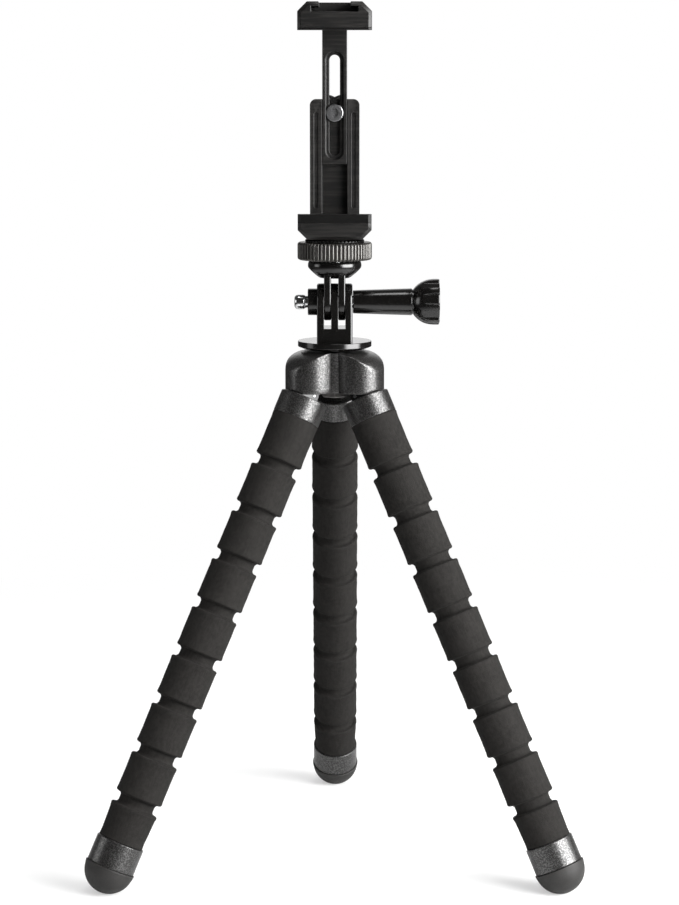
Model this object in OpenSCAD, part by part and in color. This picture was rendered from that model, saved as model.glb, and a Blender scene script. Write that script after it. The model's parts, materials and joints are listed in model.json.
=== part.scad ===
/* [Stance] */
// Angle of each leg from the vertical, where its collar meets the stop on the hub
splay = 26; // [18:0.5:32]
// Distance from the middle of the hub to each leg's hinge pin
leg_circle_r = 11.5; // [11.5:0.1:14]

/* [Foam legs] */
// Diameter of a foam ring
foam_d = 19.5; // [18:0.1:19.6]
// Diameter of the foam neck at the bottom of a groove
neck_d = 15.6; // [13:0.1:16]
// Width of a groove
groove_w = 4.4; // [4:0.1:6]
// Length of a foam ring between two grooves
ring_len = 16.4; // [14:0.1:24]
// Length of the first ring, under the collar
first_ring_len = 18.5; // [14:0.1:26]
// Length of the last ring, above the tip sleeve
last_ring_len = 14.2; // [12:0.1:24]
// Radius of a ring's edges
ring_edge_r = 0.8; // [0.3:0.1:1.5]
// Gap between a neck's ball and the seat it turns in
neck_gap = 0.2; // [0.1:0.05:0.4]
// Diameter of the bendable wire in the middle of a leg
wire_d = 4; // [3:0.1:5]
// Gap between the wire and the foam round it
wire_gap = 0.3; // [0.2:0.05:0.5]

/* [Collars and feet] */
// Diameter of the collar at the top of a leg
collar_d = 19.4; // [18:0.1:19.6]
// Length of the collar
collar_len = 9.2; // [8:0.1:14]
// Distance from the hinge pin to the top of the collar
collar_drop = 6; // [5.6:0.1:7]
// Depth that the wire goes into the collar and into the tip sleeve
wire_grip = 5.5; // [4:0.1:7]
// Diameter of the tip sleeve
sleeve_d = 19.5; // [18:0.1:19.6]
// Length of the tip sleeve
sleeve_len = 10.6; // [9:0.1:16]
// Diameter of the foot's flange
foot_flange_d = 20.4; // [19.6:0.1:22]
// Thickness of the foot's flange
foot_flange_t = 1.6; // [1:0.1:2.5]
// Radius of the foot's dome
foot_dome_r = 10; // [9:0.1:10]
// Depth of the flat that the foot stands on
foot_flat = 0.4; // [0.3:0.05:1]
// Diameter of the peg that holds the foot in the sleeve
foot_peg_d = 12; // [9:0.1:14]
// Length of that peg
foot_peg_len = 4; // [3:0.1:4.5]

/* [Hub] */
// Height of the hub
hub_h = 16.2; // [15:0.1:22]
// Radius of each lobe of the hub
lobe_r = 10; // [9.5:0.1:11]
// Radius of the middle of the hub, which closes the valleys between the lobes
hub_core_r = 11.5; // [10:0.1:13]
// Radius of the flat top of the hub
hub_top_r = 12; // [11:0.1:14]
// Radius of the rounding between the hub's top and its sides
hub_round_r = 9.5; // [8:0.1:10]
// Height of the raised seat on the hub that the flange turns on
hub_seat_h = 0.8; // [0.4:0.1:2]
// Radius of that seat
hub_seat_r = 9.5; // [7:0.1:11]
// Height of the hinge pins above the flat bottom of the hub
pin_height = 3; // [2.8:0.1:4.8]
// Diameter of a hinge pin
pin_d = 3; // [2:0.1:3.4]
// Width of the hinge tongue on a collar
tongue_w = 6; // [4:0.1:8]
// Radius of the eye of the tongue
tongue_eye_r = 3.3; // [2.8:0.1:3.5]
// Gap on each side of the tongue in its slot
tongue_gap = 0.25; // [0.15:0.05:0.5]
// Width of the hub that holds a pin on each side of its tongue
pin_hold = 4; // [3:0.1:4.5]
// Gap between a collar and its stop on the hub
stop_gap = 0.15; // [0.1:0.05:0.3]

/* [Hinged base] */
// Diameter of the round flange
flange_d = 29.8; // [24:0.1:36]
// Thickness of the flange
flange_t = 3.1; // [2.4:0.1:5]
// Radius of the flange's upper edge
flange_edge_r = 0.6; // [0.3:0.1:0.9]
// Radius of the flange's lower edge
flange_under_r = 1.5; // [0.6:0.1:1.5]
// Height of the hinge bolt above the flange
pivot_rise = 15.7; // [14.5:0.1:22]
// Radius of the rounded prong ends
prong_r = 7.5; // [6.5:0.1:8]
// Thickness of a prong of the base
base_prong_t = 2.85; // [2.4:0.05:4]
// Width of a slot between two prongs of the base
prong_slot_w = 2.9; // [2.6:0.05:4]
// Gap on each side of a fork prong in its slot
prong_gap = 0.15; // [0.1:0.05:0.4]
// Gap under the fork prongs at the bottom of the slots
slot_floor_gap = 2.8; // [1:0.1:4]
// Diameter of the nut boss
boss_d = 10.8; // [10.4:0.1:13]
// Length of the nut boss
boss_len = 3.7; // [3:0.1:6]
// Width of the hinge nut across its flats
hinge_nut_af = 8; // [7.6:0.1:8.4]
// Thickness of the hinge nut
hinge_nut_t = 2.7; // [2:0.1:2.8]

/* [Thumbscrew] */
// Diameter of the hinge bolt
hinge_bolt_d = 5; // [4:0.1:5.4]
// Length of the bolt's end that shows past the nut boss
bolt_end_len = 5.4; // [2:0.1:8]
// Length of the sleeve between the prongs and the knob
thumb_sleeve_len = 24; // [16:0.1:32]
// Diameter of the sleeve beside the prongs
thumb_sleeve_d1 = 9.4; // [8.6:0.1:11]
// Diameter of the sleeve beside the knob
thumb_sleeve_d2 = 10.7; // [9:0.1:12]
// Diameter of the knob
thumb_knob_d = 18.7; // [15:0.1:24]
// Length of the knob
thumb_knob_len = 10.9; // [8:0.1:14]
// Length of the straight rim of the knob
thumb_rim_len = 2.2; // [1:0.1:4]
// Lobes round the knob
thumb_lobes = 6; // [5:1:8]
// Depth of the flutes between the lobes
thumb_flute_depth = 2.4; // [0.8:0.1:3]

/* [Fork head] */
// Radius of the dome at its widest, near its top
dome_r = 10.8; // [9:0.1:12]
// Height of the dome
dome_h = 6.8; // [6:0.1:9]
// Radius of the dome's lower end
dome_low_r = 5.9; // [4:0.1:6.5]
// Depth of the two slanted flats on the dome
dome_flat_depth = 0.4; // [0.2:0.1:1]
// Gap between the prongs of the base and the dome
dome_gap = 2.3; // [1:0.1:4]
// Diameter of the stud thread of the hub bolt and of the head stud
stud_d = 6.2; // [6:0.05:6.25]
// Gap round a pin, bolt or stud in the hole that it turns in
turn_gap = 0.06; // [0.03:0.01:0.09]

/* [Lock ring] */
// Diameter of the lock ring over its ribs
ring_d = 30; // [26:0.1:34]
// Height of the lock ring
ring_h = 7.1; // [5:0.1:10]
// Ribs round the lock ring
ring_ribs = 58; // [40:1:64]
// Depth of the grooves between the ribs
ring_rib_depth = 0.7; // [0.4:0.05:1]
// Diameter of the pad on the lock ring
ring_pad_d = 23.8; // [20:0.1:25]
// Thickness of that pad
ring_pad_t = 1.4; // [1:0.1:3]

/* [Clamp] */
// Width of the jaws
jaw_w = 29.5; // [26:0.1:36]
// Height of the lower jaw under its pad
jaw_h = 6.6; // [6:0.1:9]
// Bevel on the lower corners of the lower jaw and the upper corners of the upper one
jaw_corner = 3.8; // [2:0.1:4.2]
// Bevel on the upright front edges of the jaws
jaw_bevel = 2; // [1:0.1:2.4]
// Distance between the pads of the two jaws
grip_open = 75.9; // [72:0.1:84]
// Room between the lips and the spine
grip_depth = 13; // [9:0.1:16]
// Thickness of the holding lips
lip_t = 2.4; // [1.6:0.1:3]
// Reach of the lips past the pads
lip_reach = 1.8; // [1:0.1:3]
// Thickness of the pads
pad_t = 1.8; // [1.2:0.1:2.4]
// Thickness of the rubber behind a lip
lip_liner_t = 0.8; // [0.5:0.1:1.2]
// Height of the rubber edge that shows under the upper jaw's lip
upper_edge_h = 1; // [0.6:0.1:1.4]
// Height of the upper jaw over its pad
upper_jaw_h = 7.6; // [7:0.1:12]
// Width of the spine
spine_w = 20; // [17:0.1:24]
// Thickness of the spine
spine_t = 5.5; // [5:0.1:8]
// Width of the stem that slides in the spine
stem_w = 10; // [9:0.1:12]
// Thickness of the stem
stem_t = 2.8; // [2.5:0.05:3]
// Gap round the stem in its channel
stem_gap = 0.15; // [0.1:0.05:0.3]
// Travel of the upper jaw from here to its narrowest grip
jaw_close = 20; // [10:0.5:22]
// Travel of the upper jaw from here to its widest grip
jaw_open = 14; // [8:0.5:16]
// Diameter of the clamp bolt
clamp_bolt_d = 4; // [3:0.1:4.4]
// Diameter of the clamp bolt's flat head
clamp_head_d = 7; // [6:0.1:7.2]
// Thickness of that head
clamp_head_t = 1.2; // [0.9:0.05:1.3]
// Diameter of the clamp knob
clamp_knob_d = 17; // [13:0.1:22]
// Length of the clamp knob
clamp_knob_len = 7.5; // [6:0.1:12]
// Lobes round the clamp knob
clamp_lobes = 6; // [5:1:8]

/* [Accessory shoe] */
// Width of the shoe's slot
shoe_w = 18.6; // [18.4:0.05:18.8]
// Height of the shoe's slot
shoe_h = 2.2; // [2:0.05:2.4]
// Opening between the two rails
shoe_gap = 12.6; // [12.4:0.1:13]
// Thickness of the rails
shoe_rail_t = 1.8; // [1.4:0.1:2.2]
// Thickness of the wall that stops the slot at the back
shoe_stop_t = 2; // [1.5:0.1:3]

/* [Hidden] */
$fn = 96;
// Overlap of a cut past the face that it opens
cut = 1;
// Gap round a piece that is pressed or moulded in
seat = 0.02;
// Gap between flat faces that turn on each other
rest_gap = 0.1;

SIDES = ["left", "right", "rear"];
AZIMUTHS = [210, 330, 90];
RINGS = 9;

LEG_NODES = concat(["collar"], [for (k = [1 : RINGS]) str("foam_", k)], ["wire", "tip_sleeve", "foot"]);
HEAD_NODES = ["hub_housing", "hinge_pins", "hub_bolt",
              "prong_base", "base_insert", "hinge_nut", "thumbscrew_bolt", "thumbscrew_knob",
              "fork_head", "head_stud", "lock_ring", "ring_pad",
              "lower_jaw", "thread_insert", "lower_pad", "upper_jaw", "upper_pad",
              "clamp_bolt", "clamp_washer", "clamp_knob"];

// Distances along a leg, counted down from its hinge pin
collar_end = collar_drop + collar_len;
pitch = ring_len + groove_w;
first_groove = collar_end + first_ring_len + groove_w / 2;
last_groove = first_groove + (RINGS - 2) * pitch;
sleeve_start = last_groove + groove_w / 2 + last_ring_len;
sleeve_end = sleeve_start + sleeve_len;
dome_start = sleeve_end + foot_flange_t / 2;
function ring_top(k) = k == 1 ? collar_end : first_groove + (k - 2) * pitch + groove_w / 2;
function ring_length(k) = k == 1 ? first_ring_len : k == RINGS ? last_ring_len : ring_len;

// Heights of the hub and the head above the floor
pin_z = dome_start * cos(splay) + foot_dome_r - foot_flat;
hub_low = pin_z - pin_height;
hub_top = hub_low + hub_h;
hub_r = hub_top_r + hub_round_r;
hub_low_edge_r = 0.4;
flange_low = hub_top + hub_seat_h + rest_gap;
flange_top = flange_low + flange_t;
pivot_z = flange_top + pivot_rise;
dome_low = pivot_z + prong_r + dome_gap;
dome_top = dome_low + dome_h;
dome_waist = 0.5;
dome_flat_slope = 49;
ring_gap = 0.5;
ring_low = dome_top + ring_gap;
ring_top_z = ring_low + ring_h;
clamp_low = ring_top_z + ring_pad_t + rest_gap;
jaw_top = clamp_low + jaw_h;
grip_low = jaw_top + pad_t;
grip_high = grip_low + grip_open;
upper_low = grip_high + pad_t;
upper_top = upper_low + upper_jaw_h;
upper_lip = grip_high - lip_reach;

// Depths of the clamp, from its front face at the lips to the back of the spine
grip_shift = 2;
spine_front = grip_depth / 2 - grip_shift;
lip_back = spine_front - grip_depth;
jaw_front = lip_back - lip_t;
spine_back = spine_front + spine_t;
channel_back = spine_front + stem_t + 2 * stem_gap;
stem_spare = 1;
stem_low = grip_low + jaw_close + stem_spare;
slot_end = 1;
clamp_bolt_z = stem_low + jaw_open + clamp_head_d / 2 + 3 * slot_end;
spine_high = clamp_bolt_z + clamp_head_d / 2 + 2 * slot_end;
washer_t = 1;
head_back = spine_front + stem_gap + rest_gap + clamp_head_t;
knob_front = spine_back + washer_t + rest_gap;
knob_cap_t = 1;
clamp_bolt_end = knob_front + clamp_knob_len - knob_cap_t;

// Widths across the hinge, counted along the hinge bolt
base_w = 3 * base_prong_t + 2 * prong_slot_w;
fork_prong_t = prong_slot_w - 2 * prong_gap;
fork_prong_x = (base_prong_t + prong_slot_w) / 2;
boss_end = -base_w / 2 - boss_len;
bolt_tip = boss_end - bolt_end_len;
thumb_start = base_w / 2 + 2 * rest_gap;
thumb_flare = thumb_start + thumb_sleeve_len;
thumb_bolt_end = thumb_flare + thumb_knob_len / 2;
thumb_flute_r = 3;
hinge_nut_r = hinge_nut_af / 2 / cos(30);
nut_inset = 0.4;

// Threaded bushes in the flange and in the lower jaw
insert_wall = 1.6;
insert_r = stud_d / 2 + insert_wall;
base_insert_len = 6;
insert_cover = 1;
jaw_insert_len = jaw_h - insert_cover;
stud_short = 0.6;
stud_seat = 2;
prong_root = 2.7;

// Hub bolt's head, in its pocket under the hub
hub_bolt_rim = 3.4;
hub_bolt_head_r = stud_d / 2 + hub_bolt_rim;
hub_bolt_head_t = 4.2;
hub_bolt_pocket = 5;

// Hinge pins: each goes in from the side of its lobe that is given here
pin_half = tongue_w / 2 + tongue_gap + pin_hold;
PIN_SIDES = [-1, 1, 1];

// Shares of a pitch that a rib and a lobe take
ring_rib_share = 0.55;
clamp_lobe_share = 0.72;

FOAM = [0.16, 0.16, 0.17];
GLOSS = [0.05, 0.05, 0.055];
SATIN = [0.18, 0.18, 0.185];
RUBBER = [0.24, 0.24, 0.24];
STEEL = [0.78, 0.79, 0.8];
BRASS = [0.78, 0.62, 0.32];

// Puts a piece that is drawn along a leg, with the pin at its origin, where the leg stands
module on_leg(side) {
    rotate([0, 0, AZIMUTHS[side]])
        translate([leg_circle_r, 0, pin_z])
            rotate([0, -splay, 0])
                children();
}

// A round bar along a leg, between two distances from the pin
module leg_bar(r, from, to) {
    translate([0, 0, -to])
        cylinder(r = r, h = to - from);
}

// A bar across the head, along the hinge bolt
module cross_bar(r, from, to) {
    translate([from, 0, pivot_z])
        rotate([0, 90, 0])
            cylinder(r = r, h = to - from);
}

// A bar from the front of the clamp to its back, on the clamp bolt's axis
module clamp_bar(r, from, to) {
    translate([0, from, clamp_bolt_z])
        rotate([-90, 0, 0])
            cylinder(r = r, h = to - from);
}

// A box given by its two opposite corners
module box(low, high) {
    translate(low)
        cube(high - low);
}

// A disc whose lower and upper edges are rounded
module edged_disc(r, h, low_r, high_r) {
    rotate_extrude() {
        square([r - max(low_r, high_r), h]);
        translate([0, low_r])
            square([r, h - low_r - high_r]);
        square([r - low_r, low_r]);
        translate([0, h - high_r])
            square([r - high_r, high_r]);
        translate([r - low_r, low_r])
            circle(r = low_r);
        translate([r - high_r, h - high_r])
            circle(r = high_r);
    }
}

// A threaded bush that stands on z = 0, with its bore for a stud
module bush(length) {
    color(BRASS)
        difference() {
            cylinder(r = insert_r, h = length);
            translate([0, 0, -cut])
                cylinder(r = stud_d / 2 + turn_gap, h = length + 2 * cut);
        }
}

// Collar with the tongue that hinges in the hub
module collar(side) {
    color(GLOSS)
        on_leg(side)
            difference() {
                union() {
                    leg_bar(collar_d / 2, collar_drop, collar_end);
                    rotate([90, 0, 0])
                        cylinder(r = tongue_eye_r, h = tongue_w, center = true);
                    box([-tongue_eye_r, -tongue_w / 2, -collar_drop - cut],
                        [tongue_eye_r, tongue_w / 2, 0]);
                }
                rotate([90, 0, 0])
                    cylinder(r = pin_d / 2 + turn_gap, h = tongue_w + 2 * cut, center = true);
                leg_bar(wire_d / 2 + seat, collar_end - wire_grip, collar_end + cut);
            }
}

// One foam ring: a seat for the neck above it, and its own neck with a ball end below it
module foam_ring(side, k) {
    top = ring_top(k);
    length = ring_length(k);
    ball = top + length + groove_w / 2;
    color(FOAM)
        on_leg(side)
            difference() {
                union() {
                    translate([0, 0, -top - length])
                        edged_disc(foam_d / 2, length, ring_edge_r, ring_edge_r);
                    if (k < RINGS)
                        translate([0, 0, -ball])
                            sphere(r = neck_d / 2);
                }
                if (k > 1)
                    translate([0, 0, -top + groove_w / 2])
                        sphere(r = neck_d / 2 + neck_gap);
                leg_bar(wire_d / 2 + wire_gap, top - cut, ball + neck_d);
            }
}

// Bendable wire through the whole leg
module wire(side) {
    color(STEEL)
        on_leg(side)
            leg_bar(wire_d / 2, collar_end - wire_grip, sleeve_start + wire_grip);
}

// Ferrule at the lower end of a leg
module tip_sleeve(side) {
    color(GLOSS)
        on_leg(side)
            difference() {
                leg_bar(sleeve_d / 2, sleeve_start, sleeve_end);
                leg_bar(wire_d / 2 + seat, sleeve_start - cut, sleeve_start + wire_grip);
                leg_bar(foot_peg_d / 2 + seat, sleeve_end - foot_peg_len, sleeve_end + cut);
            }
}

// Domed foot with a flange, a peg into the sleeve and a flat where it stands
module foot(side) {
    floor_span = 4 * dome_start;
    color(RUBBER)
        difference() {
            on_leg(side) {
                leg_bar(foot_flange_d / 2, sleeve_end, sleeve_end + foot_flange_t);
                leg_bar(foot_peg_d / 2, sleeve_end - foot_peg_len + seat, sleeve_end + cut);
                difference() {
                    translate([0, 0, -dome_start])
                        sphere(r = foot_dome_r);
                    translate([0, 0, -sleeve_end])
                        cylinder(r = 2 * foot_dome_r, h = 2 * foot_dome_r);
                }
            }
            translate([0, 0, -floor_span / 2])
                cube(floor_span, center = true);
        }
}

// Slot in a lobe of the hub, in which the tongue swings from the splayed to the folded leg
module tongue_slot() {
    reach = tongue_eye_r + 2 * tongue_gap;
    half = tongue_w / 2 + tongue_gap;
    rotate([90, 0, 0])
        cylinder(r = reach, h = 2 * half, center = true);
    box([-reach, -half, -hub_h], [collar_drop * sin(splay) + reach, half, 0]);
}

// Hinge pin's bore, from its blind end to past the side that the pin goes in from
module pin_bore(way) {
    rotate([-90 * way, 0, 0])
        translate([0, 0, -pin_half - seat])
            cylinder(r = pin_d / 2 + seat, h = pin_half + 2 * lobe_r);
}

// Three-lobed hub: upright lobes under one dome, cut square to each leg at its stop
module hub_housing() {
    color(GLOSS)
        difference() {
            union() {
                intersection() {
                    translate([0, 0, hub_low])
                        edged_disc(hub_r, hub_h, hub_low_edge_r, hub_round_r);
                    translate([0, 0, hub_low]) {
                        cylinder(r = hub_core_r, h = hub_h);
                        for (a = AZIMUTHS)
                            rotate(a)
                                translate([leg_circle_r, 0, 0])
                                    cylinder(r = lobe_r, h = hub_h);
                    }
                }
                translate([0, 0, hub_top - cut])
                    cylinder(r = hub_seat_r, h = hub_seat_h + cut);
            }
            for (side = [0 : 2])
                rotate(AZIMUTHS[side])
                    translate([leg_circle_r, 0, pin_z]) {
                        tongue_slot();
                        pin_bore(PIN_SIDES[side]);
                        rotate([0, -splay, 0])
                            translate([0, 0, -collar_drop + stop_gap - hub_h])
                                cylinder(r = 2 * lobe_r, h = hub_h);
                    }
            translate([0, 0, hub_low - cut])
                cylinder(r = stud_d / 2 + seat, h = hub_h + hub_seat_h + 2 * cut);
            translate([0, 0, hub_low - cut])
                cylinder(r = hub_bolt_head_r + seat, h = hub_bolt_pocket + cut, $fn = 6);
        }
}

// One pin across each lobe
module hinge_pins() {
    color(STEEL)
        for (a = AZIMUTHS)
            rotate(a)
                translate([leg_circle_r, 0, pin_z])
                    rotate([90, 0, 0])
                        cylinder(r = pin_d / 2, h = 2 * pin_half, center = true);
}

// Hex bolt up through the hub; its thread carries the base
module hub_bolt() {
    pocket_top = hub_low + hub_bolt_pocket;
    color(STEEL) {
        translate([0, 0, pocket_top - hub_bolt_head_t])
            cylinder(r = hub_bolt_head_r - seat, h = hub_bolt_head_t, $fn = 6);
        translate([0, 0, pocket_top - cut])
            cylinder(r = stud_d / 2, h = flange_low + base_insert_len - stud_short - pocket_top + cut);
    }
}

// Round flange with the three-prong block and the nut boss
module prong_base() {
    color(GLOSS)
        difference() {
            union() {
                translate([0, 0, flange_low])
                    edged_disc(flange_d / 2, flange_t, flange_under_r, flange_edge_r);
                box([-base_w / 2, -prong_r, flange_top - cut], [base_w / 2, prong_r, pivot_z]);
                cross_bar(prong_r, -base_w / 2, base_w / 2);
                cross_bar(boss_d / 2, boss_end, -base_w / 2 + cut);
            }
            for (x = [-1, 1] * fork_prong_x)
                box([x - prong_slot_w / 2, -2 * prong_r, pivot_z - prong_r - slot_floor_gap],
                    [x + prong_slot_w / 2, 2 * prong_r, pivot_z + 2 * prong_r]);
            cross_bar(hinge_bolt_d / 2 + turn_gap, boss_end - cut, base_w);
            translate([boss_end - cut, 0, pivot_z])
                rotate([0, 90, 0])
                    cylinder(r = hinge_nut_r + seat, h = cut + nut_inset + hinge_nut_t, $fn = 6);
            translate([0, 0, flange_low - cut])
                cylinder(r = insert_r + seat, h = base_insert_len + cut);
        }
}

// Threaded bush in the flange
module base_insert() {
    translate([0, 0, flange_low])
        bush(base_insert_len);
}

// Hex nut held in the boss
module hinge_nut() {
    color(STEEL)
        translate([boss_end + nut_inset, 0, pivot_z])
            rotate([0, 90, 0])
                difference() {
                    cylinder(r = hinge_nut_r, h = hinge_nut_t, $fn = 6);
                    translate([0, 0, -cut])
                        cylinder(r = hinge_bolt_d / 2 + turn_gap, h = hinge_nut_t + 2 * cut);
                }
}

// Cross bolt with a rounded end
module thumbscrew_bolt() {
    r = hinge_bolt_d / 2;
    color(STEEL) {
        cross_bar(r, bolt_tip + r, thumb_bolt_end);
        translate([bolt_tip + r, 0, pivot_z])
            sphere(r = r);
    }
}

// Bell of the knob: a quarter ellipse from the sleeve out to the knob's rim
module knob_bell() {
    steps = 8;
    low = thumb_sleeve_d2 / 2;
    high = thumb_knob_d / 2;
    rise = thumb_knob_len - thumb_rim_len;
    turns = [for (i = [0 : steps]) 90 * i / steps];
    curve = [for (a = turns) [low + (high - low) * sin(a), rise * (1 - cos(a))]];
    translate([thumb_flare, 0, pivot_z])
        rotate([0, 90, 0])
            rotate_extrude()
                polygon(concat([[0, 0]], curve, [[high, thumb_knob_len], [0, thumb_knob_len]]));
}

// Thumbscrew's long sleeve and its lobed bell
module thumbscrew_knob() {
    color(GLOSS)
        difference() {
            union() {
                translate([thumb_start, 0, pivot_z])
                    rotate([0, 90, 0])
                        cylinder(d1 = thumb_sleeve_d1, d2 = thumb_sleeve_d2, h = thumb_sleeve_len);
                knob_bell();
            }
            for (i = [0 : thumb_lobes - 1])
                translate([thumb_flare + thumb_rim_len, 0, pivot_z])
                    rotate([(i + 0.5) * 360 / thumb_lobes, 0, 0])
                        translate([0, 0, thumb_knob_d / 2 + thumb_flute_r - thumb_flute_depth])
                            rotate([0, 90, 0])
                                cylinder(r = thumb_flute_r, h = thumb_knob_len);
            cross_bar(hinge_bolt_d / 2 + seat, thumb_start - cut, thumb_bolt_end + seat);
        }
}

// Dome of the head: a bowl of elliptic outline with a slanted flat on each side
module dome() {
    steps = 12;
    fall = dome_h - dome_waist;
    depth = fall / sqrt(1 - pow(dome_low_r / dome_r, 2));
    turns = [for (i = [0 : steps]) asin(fall / depth) * (1 - i / steps)];
    curve = [for (a = turns) [dome_r * cos(a), -depth * sin(a)]];
    flat = norm([dome_r * cos(dome_flat_slope), depth * sin(dome_flat_slope)]) - dome_flat_depth;
    translate([0, 0, dome_top - dome_waist])
        difference() {
            rotate_extrude()
                polygon(concat([[0, -fall]], curve, [[dome_r, dome_waist], [0, dome_waist]]));
            for (side = [-1, 1])
                rotate([0, side * (90 + dome_flat_slope), 0])
                    translate([-dome_r, -dome_r, flat])
                        cube(2 * dome_r);
        }
}

// Domed head with two prongs
module fork_head() {
    color(GLOSS)
        difference() {
            union() {
                dome();
                for (x = [-1, 1] * fork_prong_x) {
                    cross_bar(prong_r, x - fork_prong_t / 2, x + fork_prong_t / 2);
                    box([x - fork_prong_t / 2, -prong_r, pivot_z],
                        [x + fork_prong_t / 2, prong_r, dome_low + prong_root]);
                }
            }
            cross_bar(hinge_bolt_d / 2 + turn_gap, -base_w, base_w);
            translate([0, 0, dome_low + stud_seat])
                cylinder(r = stud_d / 2 + seat, h = dome_h);
        }
}

// Threaded stud from the dome up into the clamp
module head_stud() {
    low = dome_low + stud_seat;
    color(STEEL)
        translate([0, 0, low])
            cylinder(r = stud_d / 2, h = clamp_low + jaw_insert_len - stud_short - low);
}

// Ribbed nut on the stud
module lock_ring() {
    rib_w = PI * ring_d / ring_ribs * ring_rib_share;
    color(GLOSS)
        translate([0, 0, ring_low])
            linear_extrude(ring_h)
                difference() {
                    union() {
                        circle(r = ring_d / 2 - ring_rib_depth);
                        for (i = [0 : ring_ribs - 1])
                            rotate(i * 360 / ring_ribs)
                                translate([ring_d / 2 - 2 * ring_rib_depth, -rib_w / 2])
                                    square([2 * ring_rib_depth, rib_w]);
                    }
                    circle(r = stud_d / 2 + turn_gap);
                }
}

// Dark disc between the ring and the clamp
module ring_pad() {
    color(RUBBER)
        translate([0, 0, ring_top_z])
            difference() {
                cylinder(d = ring_pad_d, h = ring_pad_t);
                translate([0, 0, -cut])
                    cylinder(r = stud_d / 2 + ring_gap, h = ring_pad_t + 2 * cut);
            }
}

// Outline of a jaw seen from above, with bevelled front edges
module jaw_plan() {
    half = jaw_w / 2;
    polygon([[-half, spine_back], [-half, jaw_front + jaw_bevel], [-half + jaw_bevel, jaw_front],
             [half - jaw_bevel, jaw_front], [half, jaw_front + jaw_bevel], [half, spine_back]]);
}

// A slab of a jaw between two heights and two depths
module jaw_slab(low, high, front, back) {
    intersection() {
        translate([0, 0, low])
            linear_extrude(high - low)
                jaw_plan();
        box([-jaw_w, front, low - cut], [jaw_w, back, high + cut]);
    }
}

// Bevels along a jaw's two edges at one height
module corner_cuts(height) {
    side_len = jaw_corner * sqrt(2);
    for (side = [-1, 1])
        translate([side * jaw_w / 2, 0, height])
            rotate([0, 45, 0])
                cube([side_len, 4 * jaw_w, side_len], center = true);
}

// Lower jaw with its spine, whose channel guides the stem
module lower_jaw() {
    half = stem_w / 2 + stem_gap;
    color(SATIN)
        difference() {
            union() {
                jaw_slab(clamp_low, jaw_top, jaw_front, spine_back);
                box([-spine_w / 2, spine_front, jaw_top - cut], [spine_w / 2, spine_back, spine_high]);
            }
            corner_cuts(clamp_low);
            box([-half, spine_front - cut, grip_low], [half, channel_back, spine_high + cut]);
            clamp_bar(clamp_bolt_d / 2 + seat, spine_front, spine_back + cut);
            translate([0, 0, clamp_low - cut])
                cylinder(r = insert_r + seat, h = jaw_insert_len + cut);
        }
}

// Threaded bush in the bottom of the lower jaw
module thread_insert() {
    translate([0, 0, clamp_low])
        bush(jaw_insert_len);
}

// Liner on the lower jaw; its front is the whole holding lip
module lower_pad() {
    color(RUBBER) {
        jaw_slab(jaw_top, grip_low, jaw_front, spine_front);
        jaw_slab(jaw_top, grip_low + lip_reach, jaw_front, lip_back);
    }
}

// Slot of the accessory shoe, open at the front and at the top between its rails
module shoe_slot() {
    slot_high = upper_top - shoe_rail_t;
    back = spine_back - shoe_stop_t;
    box([-shoe_w / 2, jaw_front - cut, slot_high - shoe_h], [shoe_w / 2, back, slot_high]);
    box([-shoe_gap / 2, jaw_front - cut, slot_high - cut], [shoe_gap / 2, back, upper_top + cut]);
}

// Slot along the stem for the clamp bolt, with a wider step for its flat head
module stem_slot() {
    narrow = clamp_bolt_d / 2 + rest_gap;
    wide = clamp_head_d / 2 + rest_gap;
    low = clamp_bolt_z - jaw_open - slot_end;
    high = clamp_bolt_z + jaw_close + slot_end;
    box([-narrow, spine_front - cut, low - narrow], [narrow, spine_back, high + narrow]);
    box([-wide, spine_front - cut, low - wide], [wide, head_back + rest_gap / 2, high + wide]);
}

// Upper jaw with the accessory shoe on top, the lip and the stem that slides in the spine
module upper_jaw() {
    stem_front = spine_front + stem_gap;
    color(SATIN)
        difference() {
            union() {
                jaw_slab(upper_low, upper_top, jaw_front, spine_back);
                jaw_slab(upper_lip + upper_edge_h, upper_top, jaw_front, lip_back - lip_liner_t);
                box([-stem_w / 2, stem_front, stem_low],
                    [stem_w / 2, stem_front + stem_t, upper_low + cut]);
            }
            corner_cuts(upper_top);
            shoe_slot();
            stem_slot();
        }
}

// Liner in the upper jaw, behind its lip and round the lip's edge
module upper_pad() {
    color(RUBBER) {
        jaw_slab(grip_high, upper_low, lip_back - lip_liner_t, spine_front);
        jaw_slab(upper_lip, upper_low, lip_back - lip_liner_t, lip_back);
        jaw_slab(upper_lip, upper_lip + upper_edge_h, jaw_front, lip_back);
    }
}

// Flat-headed bolt through the stem and the spine
module clamp_bolt() {
    color(STEEL) {
        clamp_bar(clamp_head_d / 2, head_back - clamp_head_t, head_back);
        clamp_bar(clamp_bolt_d / 2, head_back - clamp_head_t / 2, clamp_bolt_end);
    }
}

// Washer between the spine and the knob
module clamp_washer() {
    color(STEEL)
        difference() {
            clamp_bar(clamp_bolt_d, spine_back, spine_back + washer_t);
            clamp_bar(clamp_bolt_d / 2 + seat, spine_back - cut, spine_back + washer_t + cut);
        }
}

// Lobed knob that locks the upper jaw
module clamp_knob() {
    r = clamp_knob_d / 2;
    lobe = clamp_lobe_share * r * sin(180 / clamp_lobes);
    color(GLOSS)
        difference() {
            translate([0, knob_front, clamp_bolt_z])
                rotate([-90, 0, 0])
                    linear_extrude(clamp_knob_len) {
                        circle(r = r - lobe / 2);
                        for (i = [0 : clamp_lobes - 1])
                            rotate(i * 360 / clamp_lobes)
                                translate([r - lobe, 0])
                                    circle(r = lobe);
                    }
            clamp_bar(clamp_bolt_d / 2 + turn_gap, knob_front - cut, clamp_bolt_end + rest_gap);
        }
}

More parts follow.
